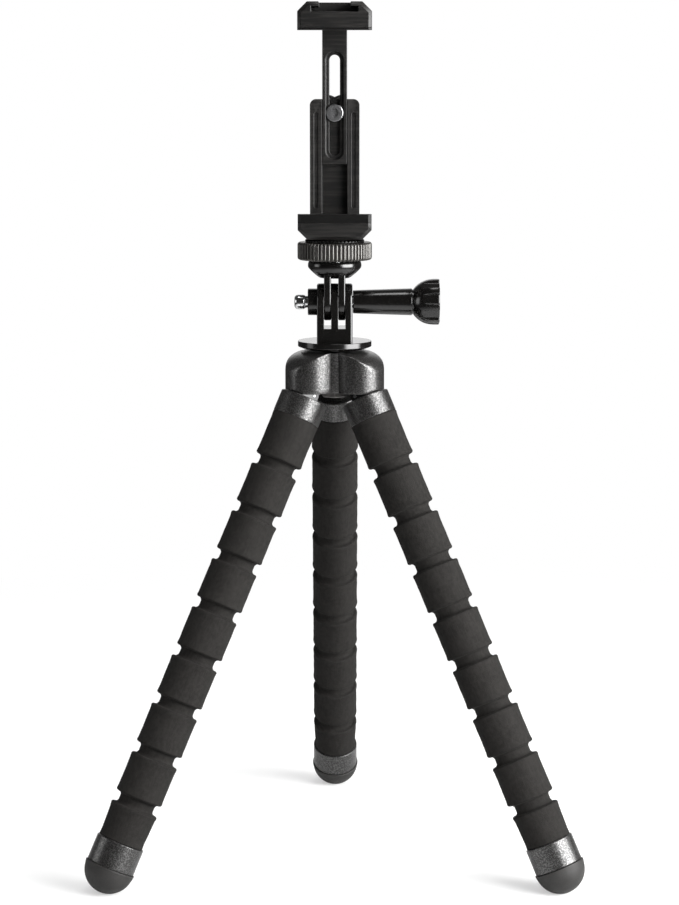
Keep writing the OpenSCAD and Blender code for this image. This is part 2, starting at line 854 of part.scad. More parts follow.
for (side = [0 : 2]) {
    collar(side);
    for (k = [1 : RINGS])
        foam_ring(side, k);
    wire(side);
    tip_sleeve(side);
    foot(side);
}
hub_housing();
hinge_pins();
hub_bolt();
prong_base();
base_insert();
hinge_nut();
thumbscrew_bolt();
thumbscrew_knob();
fork_head();
head_stud();
lock_ring();
ring_pad();
lower_jaw();
thread_insert();
lower_pad();
upper_jaw();
upper_pad();
clamp_bolt();
clamp_washer();
clamp_knob();
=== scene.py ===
import json
import math

import bmesh
import bpy
import numpy as np
from mathutils import Matrix, Vector, noise


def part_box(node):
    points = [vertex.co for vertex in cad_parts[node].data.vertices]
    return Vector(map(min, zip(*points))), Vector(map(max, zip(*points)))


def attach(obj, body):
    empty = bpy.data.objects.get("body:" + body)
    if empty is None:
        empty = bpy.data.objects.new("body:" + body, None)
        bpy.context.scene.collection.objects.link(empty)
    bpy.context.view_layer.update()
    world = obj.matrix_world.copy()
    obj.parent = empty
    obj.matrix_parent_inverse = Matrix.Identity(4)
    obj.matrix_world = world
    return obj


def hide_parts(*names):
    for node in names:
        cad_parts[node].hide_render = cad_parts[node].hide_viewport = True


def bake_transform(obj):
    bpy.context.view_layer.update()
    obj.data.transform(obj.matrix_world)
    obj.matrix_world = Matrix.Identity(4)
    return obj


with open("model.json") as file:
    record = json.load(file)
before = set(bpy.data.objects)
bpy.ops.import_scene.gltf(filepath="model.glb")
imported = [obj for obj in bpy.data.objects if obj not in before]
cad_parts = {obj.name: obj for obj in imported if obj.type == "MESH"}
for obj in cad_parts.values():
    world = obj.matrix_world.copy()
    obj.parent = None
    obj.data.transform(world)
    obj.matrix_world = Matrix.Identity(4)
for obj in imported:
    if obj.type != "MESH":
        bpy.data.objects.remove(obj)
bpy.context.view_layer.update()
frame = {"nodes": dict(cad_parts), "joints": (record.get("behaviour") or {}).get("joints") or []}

MM = 0.001
SIDES = ("left", "right", "rear")
RINGS = 9
JOINTS = {joint["name"]: joint for joint in frame["joints"]}
SHARP = math.radians(38)
HARD_EDGE = math.radians(30)
GRAIN = "grain_place"
WHITE = (1, 1, 1, 1)
# How far a cutting shape goes on past what it cuts
SPARE = 1
# Small radius at which a solid turned shape is closed
CORE_R = 0.5


# Paths, rows of points and the skins over them

def rounded(corners, steps=4, closed=False):
    """A path through corners (x, y, radius), each rounded by an arc of its radius."""
    path = []
    for i, (x, y, radius) in enumerate(corners):
        here = np.array((x, y), float)
        if radius <= 0 or (not closed and i in (0, len(corners) - 1)):
            path.append(here)
            continue
        before = np.array(corners[i - 1][:2], float) - here
        after = np.array(corners[(i + 1) % len(corners)][:2], float) - here
        u = before / np.linalg.norm(before)
        v = after / np.linalg.norm(after)
        half = math.acos(np.clip(u @ v, -1, 1)) / 2
        centre = here + (u + v) / np.linalg.norm(u + v) * radius / math.sin(half)
        first = here + u * radius / math.tan(half) - centre
        last = here + v * radius / math.tan(half) - centre
        for t in np.linspace(0, 1, steps + 1):
            spoke = (1 - t) * first + t * last
            path.append(centre + spoke / np.linalg.norm(spoke) * radius)
    return np.array(path)


def with_wall(path, radius, count):
    """A path with more points on the straight wall at its middle."""
    split = len(path) // 2
    heights = np.linspace(path[split - 1][1], path[split][1], count)[1:-1]
    wall = np.column_stack([np.full(len(heights), radius), heights])
    return np.vstack([path[:split], wall, path[split:]])


def full_turn(count):
    """Angles spread evenly over a full turn."""
    return np.linspace(0, 2 * math.pi, count, endpoint=False)


def loop(angle, radius, height):
    """A row of points round Z; radius and height may change along it."""
    height = np.broadcast_to(height, angle.shape)
    return np.column_stack([radius * np.cos(angle), radius * np.sin(angle), height])


def turned(profile, segments):
    """Rows of a turned shape, from (radius, height) points."""
    return [loop(full_turn(segments), r, z) for r, z in profile]


def skin(rows, wrap=False):
    """Vertices and faces over rows of points, each row a loop; the ends are capped, or with wrap joined."""
    rows = np.asarray(rows, float)
    count, width = rows.shape[:2]
    index = np.arange(count * width).reshape(count, width)
    faces = []
    for i in range(count if wrap else count - 1):
        low, high = index[i], index[(i + 1) % count]
        for k in range(width):
            after = (k + 1) % width
            faces.append((low[k], low[after], high[after], high[k]))
    if not wrap:
        faces.append(tuple(index[0][::-1]))
        faces.append(tuple(index[-1]))
    return rows.reshape(-1, 3), faces


def soft_min(a, b, reach):
    """The smaller of two values, with the corner between them rounded over the reach."""
    share = np.clip(0.5 + 0.5 * (b - a) / reach, 0, 1)
    return b * (1 - share) + a * share - reach * share * (1 - share)


def soft_max(a, b, reach):
    return -soft_min(-a, -b, reach)


def smooth(share):
    """A share from 0 to 1 that starts and ends gently."""
    return share * share * (3 - 2 * share)


# Objects

def new_object(name, shape, place=Matrix()):
    """A mesh object from (vertices, faces) in millimetres, put at its place."""
    vertices, faces = shape
    mesh = bpy.data.meshes.new(name)
    mesh.from_pydata((np.asarray(vertices) * MM).tolist(), [], [list(map(int, f)) for f in faces])
    shell = bmesh.new()
    shell.from_mesh(mesh)
    bmesh.ops.recalc_face_normals(shell, faces=shell.faces[:])
    shell.to_mesh(mesh)
    shell.free()
    obj = bpy.data.objects.new(name, mesh)
    bpy.context.scene.collection.objects.link(obj)
    obj.matrix_world = place
    return obj


def turned_object(name, path, segments, place=Matrix()):
    return new_object(name, skin(turned(path, segments)), place)


def bake_modifiers(obj):
    """Makes the result of the modifiers the mesh itself."""
    bpy.context.view_layer.update()
    depsgraph = bpy.context.evaluated_depsgraph_get()
    mesh = bpy.data.meshes.new_from_object(obj.evaluated_get(depsgraph))
    obj.modifiers.clear()
    obj.data = mesh


def combine(obj, tool, operation):
    """Takes the tool from obj, joins it on, or keeps what both share; the tool is used up."""
    modifier = obj.modifiers.new("combine", "BOOLEAN")
    modifier.operation = operation
    modifier.solver = "EXACT"
    modifier.object = tool
    bake_modifiers(obj)
    bpy.data.objects.remove(tool)


def cut(obj, shape, place=Matrix()):
    combine(obj, new_object("tool", shape, place), "DIFFERENCE")


def join(obj, shape):
    combine(obj, new_object("tool", shape), "UNION")


def soften_edges(obj, width, segments=3):
    """Rounds every hard edge of a solid made of few faces."""
    modifier = obj.modifiers.new("edges", "BEVEL")
    modifier.width = width * MM
    modifier.segments = segments
    modifier.limit_method = "ANGLE"
    modifier.angle_limit = HARD_EDGE
    bake_modifiers(obj)


def finish_piece(obj, finish, weighted=True):
    """Smooth shading with sharp edges kept, flat faces flat, and the finish's material."""
    material, slot = FINISHES[finish]
    obj.data.shade_smooth()
    obj.data.set_sharp_from_angle(angle=SHARP)
    if weighted:
        modifier = obj.modifiers.new("normals", "WEIGHTED_NORMAL")
        modifier.keep_sharp = True
        bake_modifiers(obj)
    mesh = obj.data
    grain = mesh.attributes.new(GRAIN, "FLOAT_VECTOR", "POINT")
    places = np.empty(3 * len(mesh.vertices))
    mesh.vertices.foreach_get("co", places)
    grain.data.foreach_set("vector", places / MM)
    mesh.transform(obj.matrix_world)
    obj.matrix_world = Matrix()
    mesh.materials.clear()
    mesh.materials.append(material)
    return obj


def rigid(obj, finish, body, *nodes):
    """A finished piece that moves with one body and stands for these nodes."""
    finish_piece(obj, finish)
    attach(obj, body)
    if nodes:
        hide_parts(*nodes)
    return obj


def box_shape(low, high):
    """A box between two corners."""
    (x0, y0, z0), (x1, y1, z1) = low, high
    corners = ((x0, y0), (x1, y0), (x1, y1), (x0, y1))
    return skin([[(x, y, z) for x, y in corners] for z in (z0, z1)])


def prism_shape(outline, low, high):
    """An outline of (x, z) points drawn out along Y."""
    return skin([[(x, y, z) for x, z in outline] for y in (low, high)])


def bar_shape(radius, low, high, segments=48):
    """A bar along Z, round or with few sides."""
    return skin(turned([(radius, low), (radius, high)], segments))


def along_x(x, z):
    """Puts Z of a turned shape along the hinge bolt."""
    return Matrix.Translation((x * MM, 0, z * MM)) @ Matrix.Rotation(math.radians(90), 4, "Y")


def along_y(y, z):
    """Puts Z of a turned shape along the clamp bolt, from front to back."""
    return Matrix.Translation((0, y * MM, z * MM)) @ Matrix.Rotation(math.radians(-90), 4, "X")


def raised(z):
    return Matrix.Translation((0, 0, z * MM))


def box_mm(node):
    """Lowest and highest corner of a node, in millimetres."""
    low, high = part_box(node)
    return np.array(low) / MM, np.array(high) / MM


# Materials

class Tree:
    """Adds nodes to a node tree and links them."""

    def __init__(self, tree):
        self.tree = tree

    def feed(self, socket, value):
        if isinstance(value, bpy.types.NodeSocket):
            self.tree.links.new(value, socket)
        else:
            socket.default_value = value

    def add(self, kind, inputs=(), **settings):
        node = self.tree.nodes.new(kind)
        for key, value in settings.items():
            setattr(node, key, value)
        for key, value in dict(inputs).items():
            self.feed(node.inputs[key], value)
        return node

    def ramp(self, value, low, high, to_low=0.0, to_high=1.0, **settings):
        node = self.add(
            "ShaderNodeMapRange",
            {"Value": value, "From Min": low, "From Max": high, "To Min": to_low, "To Max": to_high},
            **settings,
        )
        return node.outputs["Result"]

    def math(self, operation, a, b=0.0):
        return self.add("ShaderNodeMath", {0: a, 1: b}, operation=operation).outputs[0]

    def mix(self, share, a, b, kind="RGBA"):
        node = self.add("ShaderNodeMix", {"Factor": share, "A": a, "B": b}, data_type=kind)
        return node.outputs["Result"]


class Nodes(Tree):
    """A node material, with coordinates in millimetres: the piece's own, or the frame's for a kept node."""

    def __init__(self, name, kept=False):
        self.material = bpy.data.materials.new(name)
        self.material.use_nodes = True
        super().__init__(self.material.node_tree)
        self.shader = self.tree.nodes["Principled BSDF"]
        if kept:
            place = self.add("ShaderNodeTexCoord")
            self.millimetres = self.mapped(place.outputs["Object"], (1 / MM,) * 3)
        else:
            self.millimetres = self.add("ShaderNodeAttribute", attribute_name=GRAIN).outputs["Vector"]

    def mapped(self, coordinates, scale):
        return self.add("ShaderNodeMapping", {"Vector": coordinates, "Scale": scale}).outputs["Vector"]

    def noise(self, size, detail=2.0, stretch=None, roughness=0.5):
        """Noise whose lumps measure about size millimetres, drawn out by stretch along each axis."""
        where = self.mapped(self.millimetres, stretch) if stretch else self.millimetres
        inputs = {"Vector": where, "Scale": 1 / size, "Detail": detail, "Roughness": roughness}
        return self.add("ShaderNodeTexNoise", inputs).outputs["Fac"]

    def cells(self, size):
        """Distance to the middle of cells of about size millimetres."""
        node = self.add("ShaderNodeTexVoronoi", {"Vector": self.millimetres, "Scale": 1 / size})
        return node.outputs["Distance"]

    def wander(self, value, low=0.0, high=1.0):
        """A value that wanders from low to high with a noise."""
        return self.ramp(value, *WANDER, low, high)

    def between(self, value, dark, light):
        """A colour that wanders from dark to light with a noise."""
        return self.mix(self.wander(value), dark, light)

    def set(self, name, value):
        self.feed(self.shader.inputs[name], value)

    def look(self, colour, roughness, bumps, level=0.5):
        """Sets the main inputs; bumps are given as (height, depth in millimetres, strength)."""
        self.set("Base Color", colour)
        self.set("Roughness", roughness)
        self.set("Specular IOR Level", level)
        normal = None
        for height, depth, strength in bumps:
            inputs = {"Height": height, "Distance": depth * MM, "Strength": strength}
            if normal:
                inputs["Normal"] = normal
            normal = self.add("ShaderNodeBump", inputs).outputs["Normal"]
        self.set("Normal", normal)
        return self.material


# The stretch of a noise's values that most of it lies in
WANDER = (0.3, 0.7)


def grey(level, warm=0.0):
    """A near grey colour; warm shifts it towards yellow."""
    return (level * (1 + warm), level, level * (1 - warm), 1.0)


def foam_material():
    """Dense foam with cut cells darkened in their pits as painted shade, fibres along the leg, a few open
    pores and lighter blotches.
    """
    n = Nodes("foam")
    cells = n.cells(0.42)
    pores = n.cells(0.9)
    fibre = n.noise(0.5, 3, stretch=(1.0, 1.0, 0.14))
    clouds = n.noise(7, 2)
    blotches = n.noise(1.5, 3)
    grain = n.noise(0.22, 2)
    tone = n.between(clouds, grey(0.0095, 0.07), grey(0.0128, 0.07))
    tone = n.mix(n.ramp(blotches, 0.42, 0.7, 0.0, 0.7), tone, grey(0.018, 0.07))
    tone = n.mix(n.ramp(fibre, 0.45, 0.8), tone, grey(0.017, 0.07))
    # Painted shade: the pits of the cut cells, which the cells bump hollows, are darkened.
    tone = n.mix(n.ramp(cells, 0.28, 0.05, 0.0, 0.55), tone, grey(0.0055, 0.07))
    tone = n.mix(n.ramp(pores, 0.10, 0.04, 0.0, 0.5), tone, grey(0.045, 0.05))
    bumps = [(cells, 0.10, 0.55), (grain, 0.05, 0.5), (clouds, 0.25, 0.25)]
    return n.look(tone, n.wander(grain, 0.8, 0.95), bumps, 0.15)


def spark_plastic_material():
    """Moulded plastic with an eroded skin, where small flakes shine more than the rest."""
    n = Nodes("spark_plastic")
    lumps = n.noise(0.6, 1)
    flakes = n.noise(0.45, 1)
    fine = n.noise(0.3, 2)
    clouds = n.noise(9, 2)
    shine = n.ramp(flakes, 0.5, 0.56)
    n.set("Metallic", n.math("MULTIPLY", shine, 0.95))
    n.set("IOR", 1.6)
    tone = n.mix(shine, grey(0.007, 0.08), grey(0.14, 0.01))
    roughness = n.ramp(n.math("ADD", fine, clouds), 0.75, 1.25, 0.27, 0.36)
    return n.look(tone, roughness, [(lumps, 0.12, 0.8), (fine, 0.04, 0.5)])


def polished_plastic_material():
    """Polished black plastic with hairline scuffs."""
    n = Nodes("polished_plastic")
    skin_lumps = n.noise(3.5, 2)
    scuffs = n.noise(0.35, 3, stretch=(0.08, 1.0, 1.0))
    tone = n.between(skin_lumps, grey(0.0022, 0.08), grey(0.0036, 0.08))
    roughness = n.ramp(scuffs, 0.45, 0.8, 0.14, 0.26)
    return n.look(tone, roughness, [(skin_lumps, 0.05, 0.12), (scuffs, 0.008, 0.15)], 0.72)


def plain(name, grain_size, cloud_size, tones, rough, level, bump):
    """A surface whose tone wanders in clouds and whose shine and bump follow a fine grain."""
    n = Nodes(name)
    grain = n.noise(grain_size, 3)
    n.look(n.between(n.noise(cloud_size, 2), *tones), n.wander(grain, *rough), [(grain, *bump)], level)
    return n


def ring_plastic_material():
    """Plastic with a dull shine, a little warmer than the rest."""
    tones = (grey(0.008, 0.1), grey(0.014, 0.12))
    n = plain("ring_plastic", 0.4, 4, tones, (0.26, 0.38), 1.0, (0.03, 0.3))
    n.set("Specular Tint", (1.0, 0.98, 0.94, 1.0))
    return n.material


def pad_rubber_material():
    tones = (grey(0.0010, 0.1), grey(0.0020, 0.1))
    return plain("pad_rubber", 0.3, 5, tones, (0.36, 0.5), 0.25, (0.04, 0.4)).material


def blackened_material():
    """Steel under a dull oxide."""
    tones = (grey(0.1, 0.04), grey(0.14, 0.04))
    return plain("blackened_steel", 0.3, 3, tones, (0.45, 0.6), 0.5, (0.03, 0.3)).material


def satin_plastic_material():
    """Dark moulded plastic with a fine grain, flow streaks and lighter rubbed edges."""
    n = Nodes("satin_plastic")
    grain = n.noise(0.35, 3, roughness=0.6)
    streaks = n.noise(0.9, 3, stretch=(0.06, 1.0, 1.0))
    clouds = n.noise(6, 2)
    edge = n.add("ShaderNodeNewGeometry").outputs["Pointiness"]
    tone = n.between(clouds, grey(0.0018, 0.08), grey(0.0034, 0.08))
    tone = n.mix(n.ramp(streaks, 0.45, 0.62), tone, grey(0.011, 0.08))
    worn = n.math("MULTIPLY", n.ramp(edge, 0.53, 0.62), n.ramp(grain, 0.35, 0.6, 0.2, 0.8))
    tone = n.mix(worn, tone, grey(0.026, 0.04))
    return n.look(tone, n.wander(grain, 0.34, 0.48), [(grain, 0.04, 0.35), (streaks, 0.02, 0.2)], 0.42)


def foot_rubber_material():
    """Dark grey rubber, dusty low down where it stands."""
    n = Nodes("foot_rubber")
    grain = n.noise(0.4, 3)
    clouds = n.noise(4, 3)
    height = n.add("ShaderNodeSeparateXYZ", {"Vector": n.add("ShaderNodeNewGeometry").outputs["Position"]})
    dust = n.ramp(height.outputs["Z"], 0.004, 0.0, 0.0, 0.6)
    tone = n.between(clouds, grey(0.0125, 0.06), grey(0.018, 0.06))
    tone = n.mix(n.math("MULTIPLY", dust, clouds), tone, grey(0.06, 0.06))
    return n.look(tone, n.wander(grain, 0.52, 0.7), [(grain, 0.04, 0.4), (clouds, 0.06, 0.2)])


def metal_material(name, colour, rough, kept=False):
    """Metal with fine drawn lines round its axis."""
    n = Nodes(name, kept)
    lines = n.noise(0.12, 3, stretch=(1.0, 1.0, 0.1))
    darker = tuple(c * 0.82 for c in colour)
    n.set("Metallic", 1.0)
    tone = n.between(n.noise(2.5, 2), (*darker, 1.0), (*colour, 1.0))
    return n.look(tone, n.ramp(lines, 0.3, 0.75, rough * 0.7, rough * 1.4), [(lines, 0.01, 0.25)])


FINISHES = {
    "foam": (foam_material(), "foam"),
    "spark": (spark_plastic_material(), "gloss_black"),
    "polished": (polished_plastic_material(), "gloss_black"),
    "ring": (ring_plastic_material(), "gloss_black"),
    "satin": (satin_plastic_material(), "satin_black"),
    "foot": (foot_rubber_material(), "foot_rubber"),
    "pad": (pad_rubber_material(), "pad_rubber"),
    "steel": (metal_material("steel", (0.55, 0.56, 0.57), 0.28, True), "steel"),
    "bolt": (metal_material("bolt_steel", (0.5, 0.5, 0.51), 0.3), "steel"),
    "blackened": (blackened_material(), "steel"),
    "chrome": (metal_material("chrome", (0.82, 0.83, 0.84), 0.1), "bright_steel"),
    "wire": (metal_material("wire", (0.7, 0.7, 0.71), 0.35), "wire_metal"),
    "brass": (metal_material("brass", (0.65, 0.48, 0.2), 0.25, True), "brass"),
}


# Legs: a foam sleeve cut by grooves, with a wire in it, between a collar and a foot

LEG_SIDES = 128
FOAM_BORE = 2.4
NECK_R = 7.3
NECK_ROOT = 1.5
NECK_HOLD = 1.2
NECK_OVERLAP = 0.05
FOAM_EDGE = 0.9
FOAM_END_EDGE = 0.35
FOAM_WAIST = 0.22
FOAM_FLARE = 2.6
FOAM_SIDES = 96
FOAM_UNEVEN = 0.11
NECK_UNEVEN = 0.08
NECK_SEED = 1.9
WIDE_LUMP = 5
SMALL_LUMP = 1.1
SMALL_SHARE = 0.45
TIP_TAPER = 0.6
TIP_TAPER_LEN = 14.0
WIRE_R = 2.0
COLLAR_LEN = 9.2
TONGUE_W = 6.0
TONGUE_EYE_R = 3.3
TONGUE_IN = 4.6
TONGUE_ROOT = 0.5
TONGUE_EDGE = 0.35
RIVET_R = 0.8
RIVET_EDGE = 0.3
RIVET_HALF = 3.12
RIVET_SPOT = (-2.4, -3.95)
FOOT_LIP_T = 1.6
FOOT_DOME_R = 10.0
FOOT_ARC_END = math.radians(88)
FOOT_SEAM = 0.12


def leg_place(side):
    """Frame of a leg: the hinge pin at its origin, Z up the leg and X away from the middle."""
    pin = Vector(JOINTS[f"{side}_leg_fold"]["pos_m"])
    groove = Vector(JOINTS[f"{side}_bend_{RINGS - 1}"]["pos_m"])
    up = (pin - groove).normalized()
    across = Vector((0, 0, 1)).cross(-up).normalized()
    away = across.cross(up)
    place = Matrix((away, across, up)).transposed().to_4x4()
    place.translation = pin
    return place


def leg_extent(place, node):
    """Lowest and highest reach of a node along its leg, and its radius, in millimetres."""
    back = place.inverted()
    points = np.array([back @ v.co for v in frame["nodes"][node].data.vertices]) / MM
    return points[:, 2].min(), points[:, 2].max(), np.hypot(points[:, 0], points[:, 1]).max()


def leg_seed(side, k):
    """Start of the unevenness of a ring, so that no two are alike."""
    return 40 * SIDES.index(side) + 3.7 * k


def uneven(vertices, seed, amount):
    """Moves points in and out a little, as cut foam is never quite true."""
    moved = np.array(vertices, float)
    for i, (x, y, z) in enumerate(vertices):
        reach = math.hypot(x, y)
        if reach < NECK_R - NECK_ROOT:
            continue
        wide = noise.noise(Vector((x / WIDE_LUMP, y / WIDE_LUMP, z / WIDE_LUMP + seed)))
        small = noise.noise(Vector((x / SMALL_LUMP, y / SMALL_LUMP, z / SMALL_LUMP - seed)))
        push = amount * (wide + SMALL_SHARE * small)
        moved[i, 0] += push * x / reach
        moved[i, 1] += push * y / reach
        moved[i, 2] += 0.5 * push
    return moved


def foam_wall(radius, low, high, low_edge, high_edge):
    """Section of a foam ring round its bore, drawn in a little between its edges."""
    corners = [(FOAM_BORE, high, 0), (radius, high, high_edge), (radius, low, low_edge), (FOAM_BORE, low, 0)]
    path = with_wall(rounded(corners, 5), radius, 14)
    from_end = np.minimum(high - path[:, 1], path[:, 1] - low)
    drawn = smooth(np.clip(from_end / FOAM_FLARE, 0, 1))
    outer = path[:, 0] > NECK_R
    path[outer, 0] -= FOAM_WAIST * drawn[outer]
    return path


def foam_piece(name, path, place, seed, amount):
    """A turned piece of foam with an uneven skin."""
    vertices, faces = skin(turned(path, FOAM_SIDES), wrap=True)
    obj = new_object(name, (uneven(vertices, seed, amount), faces), place)
    return finish_piece(obj, "foam", weighted=False)


def foam_ring(side, k, place, radius, low, high):
    """One foam ring; the lowest narrows towards the sleeve that holds it."""
    edges = (FOAM_END_EDGE if k == RINGS else FOAM_EDGE, FOAM_END_EDGE if k == 1 else FOAM_EDGE)
    path = foam_wall(radius, low, high, *edges)
    if k == RINGS:
        outer = path[:, 0] > NECK_R
        path[outer, 0] -= TIP_TAPER * np.clip(1 - (path[outer, 1] - low) / TIP_TAPER_LEN, 0, 1)
    obj = foam_piece(f"{side}_foam_ring_{k}", path, place, leg_seed(side, k), FOAM_UNEVEN)
    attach(obj, f"{side}_leg_{k}")
    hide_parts(f"{side}_foam_{k}")


def foam_neck(side, k, place, low, high):
    """Bottom of a groove, between the ring above it and the ring below it."""
    root = NECK_R + NECK_ROOT
    corners = [
        (FOAM_BORE, high + NECK_HOLD, 0),
        (root, high + NECK_HOLD, 0),
        (root, high + NECK_OVERLAP, 0),
        (NECK_R, high + NECK_OVERLAP, NECK_ROOT),
        (NECK_R, low - NECK_OVERLAP, NECK_ROOT),
        (root, low - NECK_OVERLAP, 0),
        (root, low - NECK_HOLD, 0),
        (FOAM_BORE, low - NECK_HOLD, 0),
    ]
    path = with_wall(rounded(corners, 6), NECK_R, 10)
    bore = np.column_stack([np.full(8, FOAM_BORE), np.linspace(low, high, 8)])
    seed = leg_seed(side, k) + NECK_SEED
    obj = foam_piece(f"{side}_foam_neck_{k}", np.vstack([path, bore]), place, seed, NECK_UNEVEN)
    bend(obj)


def bend(obj):
    """Bakes the place of a piece of a leg into its mesh."""
    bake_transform(obj)


def wire_piece(side, k, place, top, bottom, low, high):
    """One stretch of the wire, through one groove."""
    heights = np.concatenate([[top], np.linspace(high, low, 10), [bottom]])
    obj = turned_object(f"{side}_wire_{k}", [(WIRE_R, z) for z in heights], 24, place)
    finish_piece(obj, "wire")
    bend(obj)
    if k == 1:
        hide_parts(f"{side}_wire")


def eye_arc(outer, inner, count):
    """Half a turn over a pin, reaching further on its inner side."""
    arc = []
    for a in np.linspace(0, math.pi, count):
        reach = outer if a < math.pi / 2 else inner
        arc.append((reach * math.cos(a), outer * math.sin(a)))
    return arc


def ferrule(name, place, low, high, radius, low_edge, high_edge):
    """A turned sleeve with rounded ends."""
    corners = [(CORE_R, low, 0), (radius, low, low_edge), (radius, high, high_edge), (CORE_R, high, 0)]
    return turned_object(name, rounded(corners), LEG_SIDES, place)


def collar(side, place, low, radius):
    """Ferrule at the top of a leg, with the hinge tongue and its rivet."""
    body = f"{side}_leg_1"
    high = low + COLLAR_LEN
    obj = ferrule(f"{side}_collar_ferrule", place, low, high, radius, 0.4, 0.55)
    rigid(obj, "spark", body, f"{side}_collar")
    root = high - TONGUE_ROOT
    outline = eye_arc(TONGUE_EYE_R, TONGUE_IN, 25) + [(-TONGUE_IN, root), (TONGUE_EYE_R, root)]
    obj = new_object(f"{side}_collar_tongue", prism_shape(outline, -TONGUE_W / 2, TONGUE_W / 2), place)
    soften_edges(obj, TONGUE_EDGE)
    rigid(obj, "polished", body)
    corners = [(0.2, -RIVET_HALF, 0), (RIVET_R, -RIVET_HALF, RIVET_EDGE)]
    corners += [(r, -z, edge) for r, z, edge in corners[::-1]]
    x, z = RIVET_SPOT
    across = Matrix.Translation((x * MM, 0, z * MM)) @ Matrix.Rotation(math.radians(90), 4, "X")
    obj = turned_object(f"{side}_collar_rivet", rounded(corners, 3), 32, place @ across)
    rigid(obj, "bolt", body)


def tip_sleeve(side, place, low, high, radius):
    obj = ferrule(f"{side}_tip_ferrule", place, low, high, radius, 0.3, 0.4)
    rigid(obj, "spark", f"{side}_leg_{RINGS}", f"{side}_tip_sleeve")


def foot(side, place, top, radius):
    """Domed rubber foot with a thin lip round its top, flat where it stands."""
    centre = top - FOOT_LIP_T / 2
    arc = np.linspace(math.asin(FOOT_LIP_T / FOOT_DOME_R), FOOT_ARC_END, 40)
    dome = [(FOOT_DOME_R * math.cos(a), centre - FOOT_DOME_R * math.sin(a), 0) for a in arc]
    rim = top - FOOT_SEAM
    lip = [(CORE_R, rim, 0), (radius, rim, 0.25), (radius, centre + 0.1, 0.6)]
    vertices, faces = skin(turned(rounded(lip + dome), LEG_SIDES))
    standing = []
    for point in vertices:
        spot = place @ (Vector(point) * MM)
        spot.z = max(spot.z, 0)
        standing.append(place.inverted() @ spot / MM)
    obj = new_object(f"{side}_foot_dome", (standing, faces), place)
    rigid(obj, "foot", f"{side}_leg_{RINGS}", f"{side}_foot")


def build_leg(side):
    place = leg_place(side)
    grooves = []
    for k in range(1, RINGS):
        spot = place.inverted() @ Vector(JOINTS[f"{side}_bend_{k}"]["pos_m"])
        grooves.append(spot.z / MM)
    extents = [leg_extent(place, f"{side}_foam_{k}") for k in range(1, RINGS + 1)]
    tops = [high for low, high, radius in extents]
    half_groove = grooves[0] - tops[1]
    ends = [g + half_groove for g in grooves] + [extents[-1][0]]
    for k in range(1, RINGS + 1):
        foam_ring(side, k, place, extents[k - 1][2], ends[k - 1], tops[k - 1])
    wire_low, wire_high, _ = leg_extent(place, f"{side}_wire")
    for k in range(1, RINGS):
        low, high = tops[k], ends[k - 1]
        foam_neck(side, k, place, low, high)
        top = wire_high if k == 1 else (tops[k - 1] + ends[k - 1]) / 2
        bottom = wire_low if k == RINGS - 1 else (tops[k] + ends[k]) / 2
        wire_piece(side, k, place, top, bottom, low, high)
    low, _, radius = leg_extent(place, f"{side}_collar")
    collar(side, place, low, radius)
    low, high, radius = leg_extent(place, f"{side}_tip_sleeve")
    tip_sleeve(side, place, low, high, radius)
    foot(side, place, low, leg_extent(place, f"{side}_foot")[2])


for leg_side in SIDES:
    build_leg(leg_side)


# Hub: three upright lobes under one dome, cut square to each leg

HUB_SIDES = 720
LOBE_R = 10.0
HUB_CORE_R = 11.5
HUB_TOP_R = 11.2
HUB_ROUND_H = 9.5
HUB_SEAT_R = 5.5
HUB_SEAT_H = 0.8
HUB_SEAT_STEP = 0.6
HUB_SEAT_EDGE = 0.25
HUB_MOUTH_R = 4
HUB_EDGE = 0.35
FLOOR_STEPS = (0.1, 0.35, 0.5, 0.6, 0.7, 0.78, 0.86, 0.93)
STOP_DROP = 5.85
SLOT_HALF = 3.25
SLOT_REACH = 3.8
SLOT_IN = 5.1
SLOT_DROP = 20
LOBE_FLAT = math.radians(100)
VALLEY_HALF = math.radians(8.6)
VALLEY_STEP = math.radians(0.7)
HUB_CREASE = 0.6
PIN_R = 1.52
PIN_HALF = 7.25
PIN_SIDES = (-1, 1, 1)
POCKET_R = 5.8
POCKET_H = 5.0
HEX_R = 5.6
HEX_OUT = 2.8
HEX_BEVEL = (0.9, 0.5)
HEX_EDGE = 0.15
HEX_GAP = 0.2
THREAD_R = 3.0
THREAD_DEPTH = 0.45
THREAD_END = 0.6
THREAD_SUNK = 0.5
THREAD_PITCH = 1.27
CORNER_FORWARD = Matrix.Rotation(math.radians(30), 4, "Z")


def lobed_plan(theta, azimuths, circle_r):
    """Radius of the hub seen from above and the angle from the nearest lobe, for each angle theta."""
    off = np.min([np.abs((theta - a + math.pi) % (2 * math.pi) - math.pi) for a in azimuths], axis=0)
    inside = np.maximum(LOBE_R**2 - (circle_r * np.sin(off)) ** 2, 0.01)
    lobe = circle_r * np.cos(off) + np.sqrt(inside)
    flat_reach = circle_r * math.cos(LOBE_FLAT) + LOBE_R
    flat_from = math.atan2(LOBE_R * math.sin(LOBE_FLAT), circle_r + LOBE_R * math.cos(LOBE_FLAT))
    past = off > flat_from
    lobe[past] = flat_reach / np.cos(LOBE_FLAT - off[past])
    valley = smooth(np.clip((off - (math.pi / 3 - VALLEY_HALF)) / VALLEY_STEP * 0.5 + 0.5, 0, 1))
    return lobe * (1 - valley) + HUB_CORE_R * valley, off


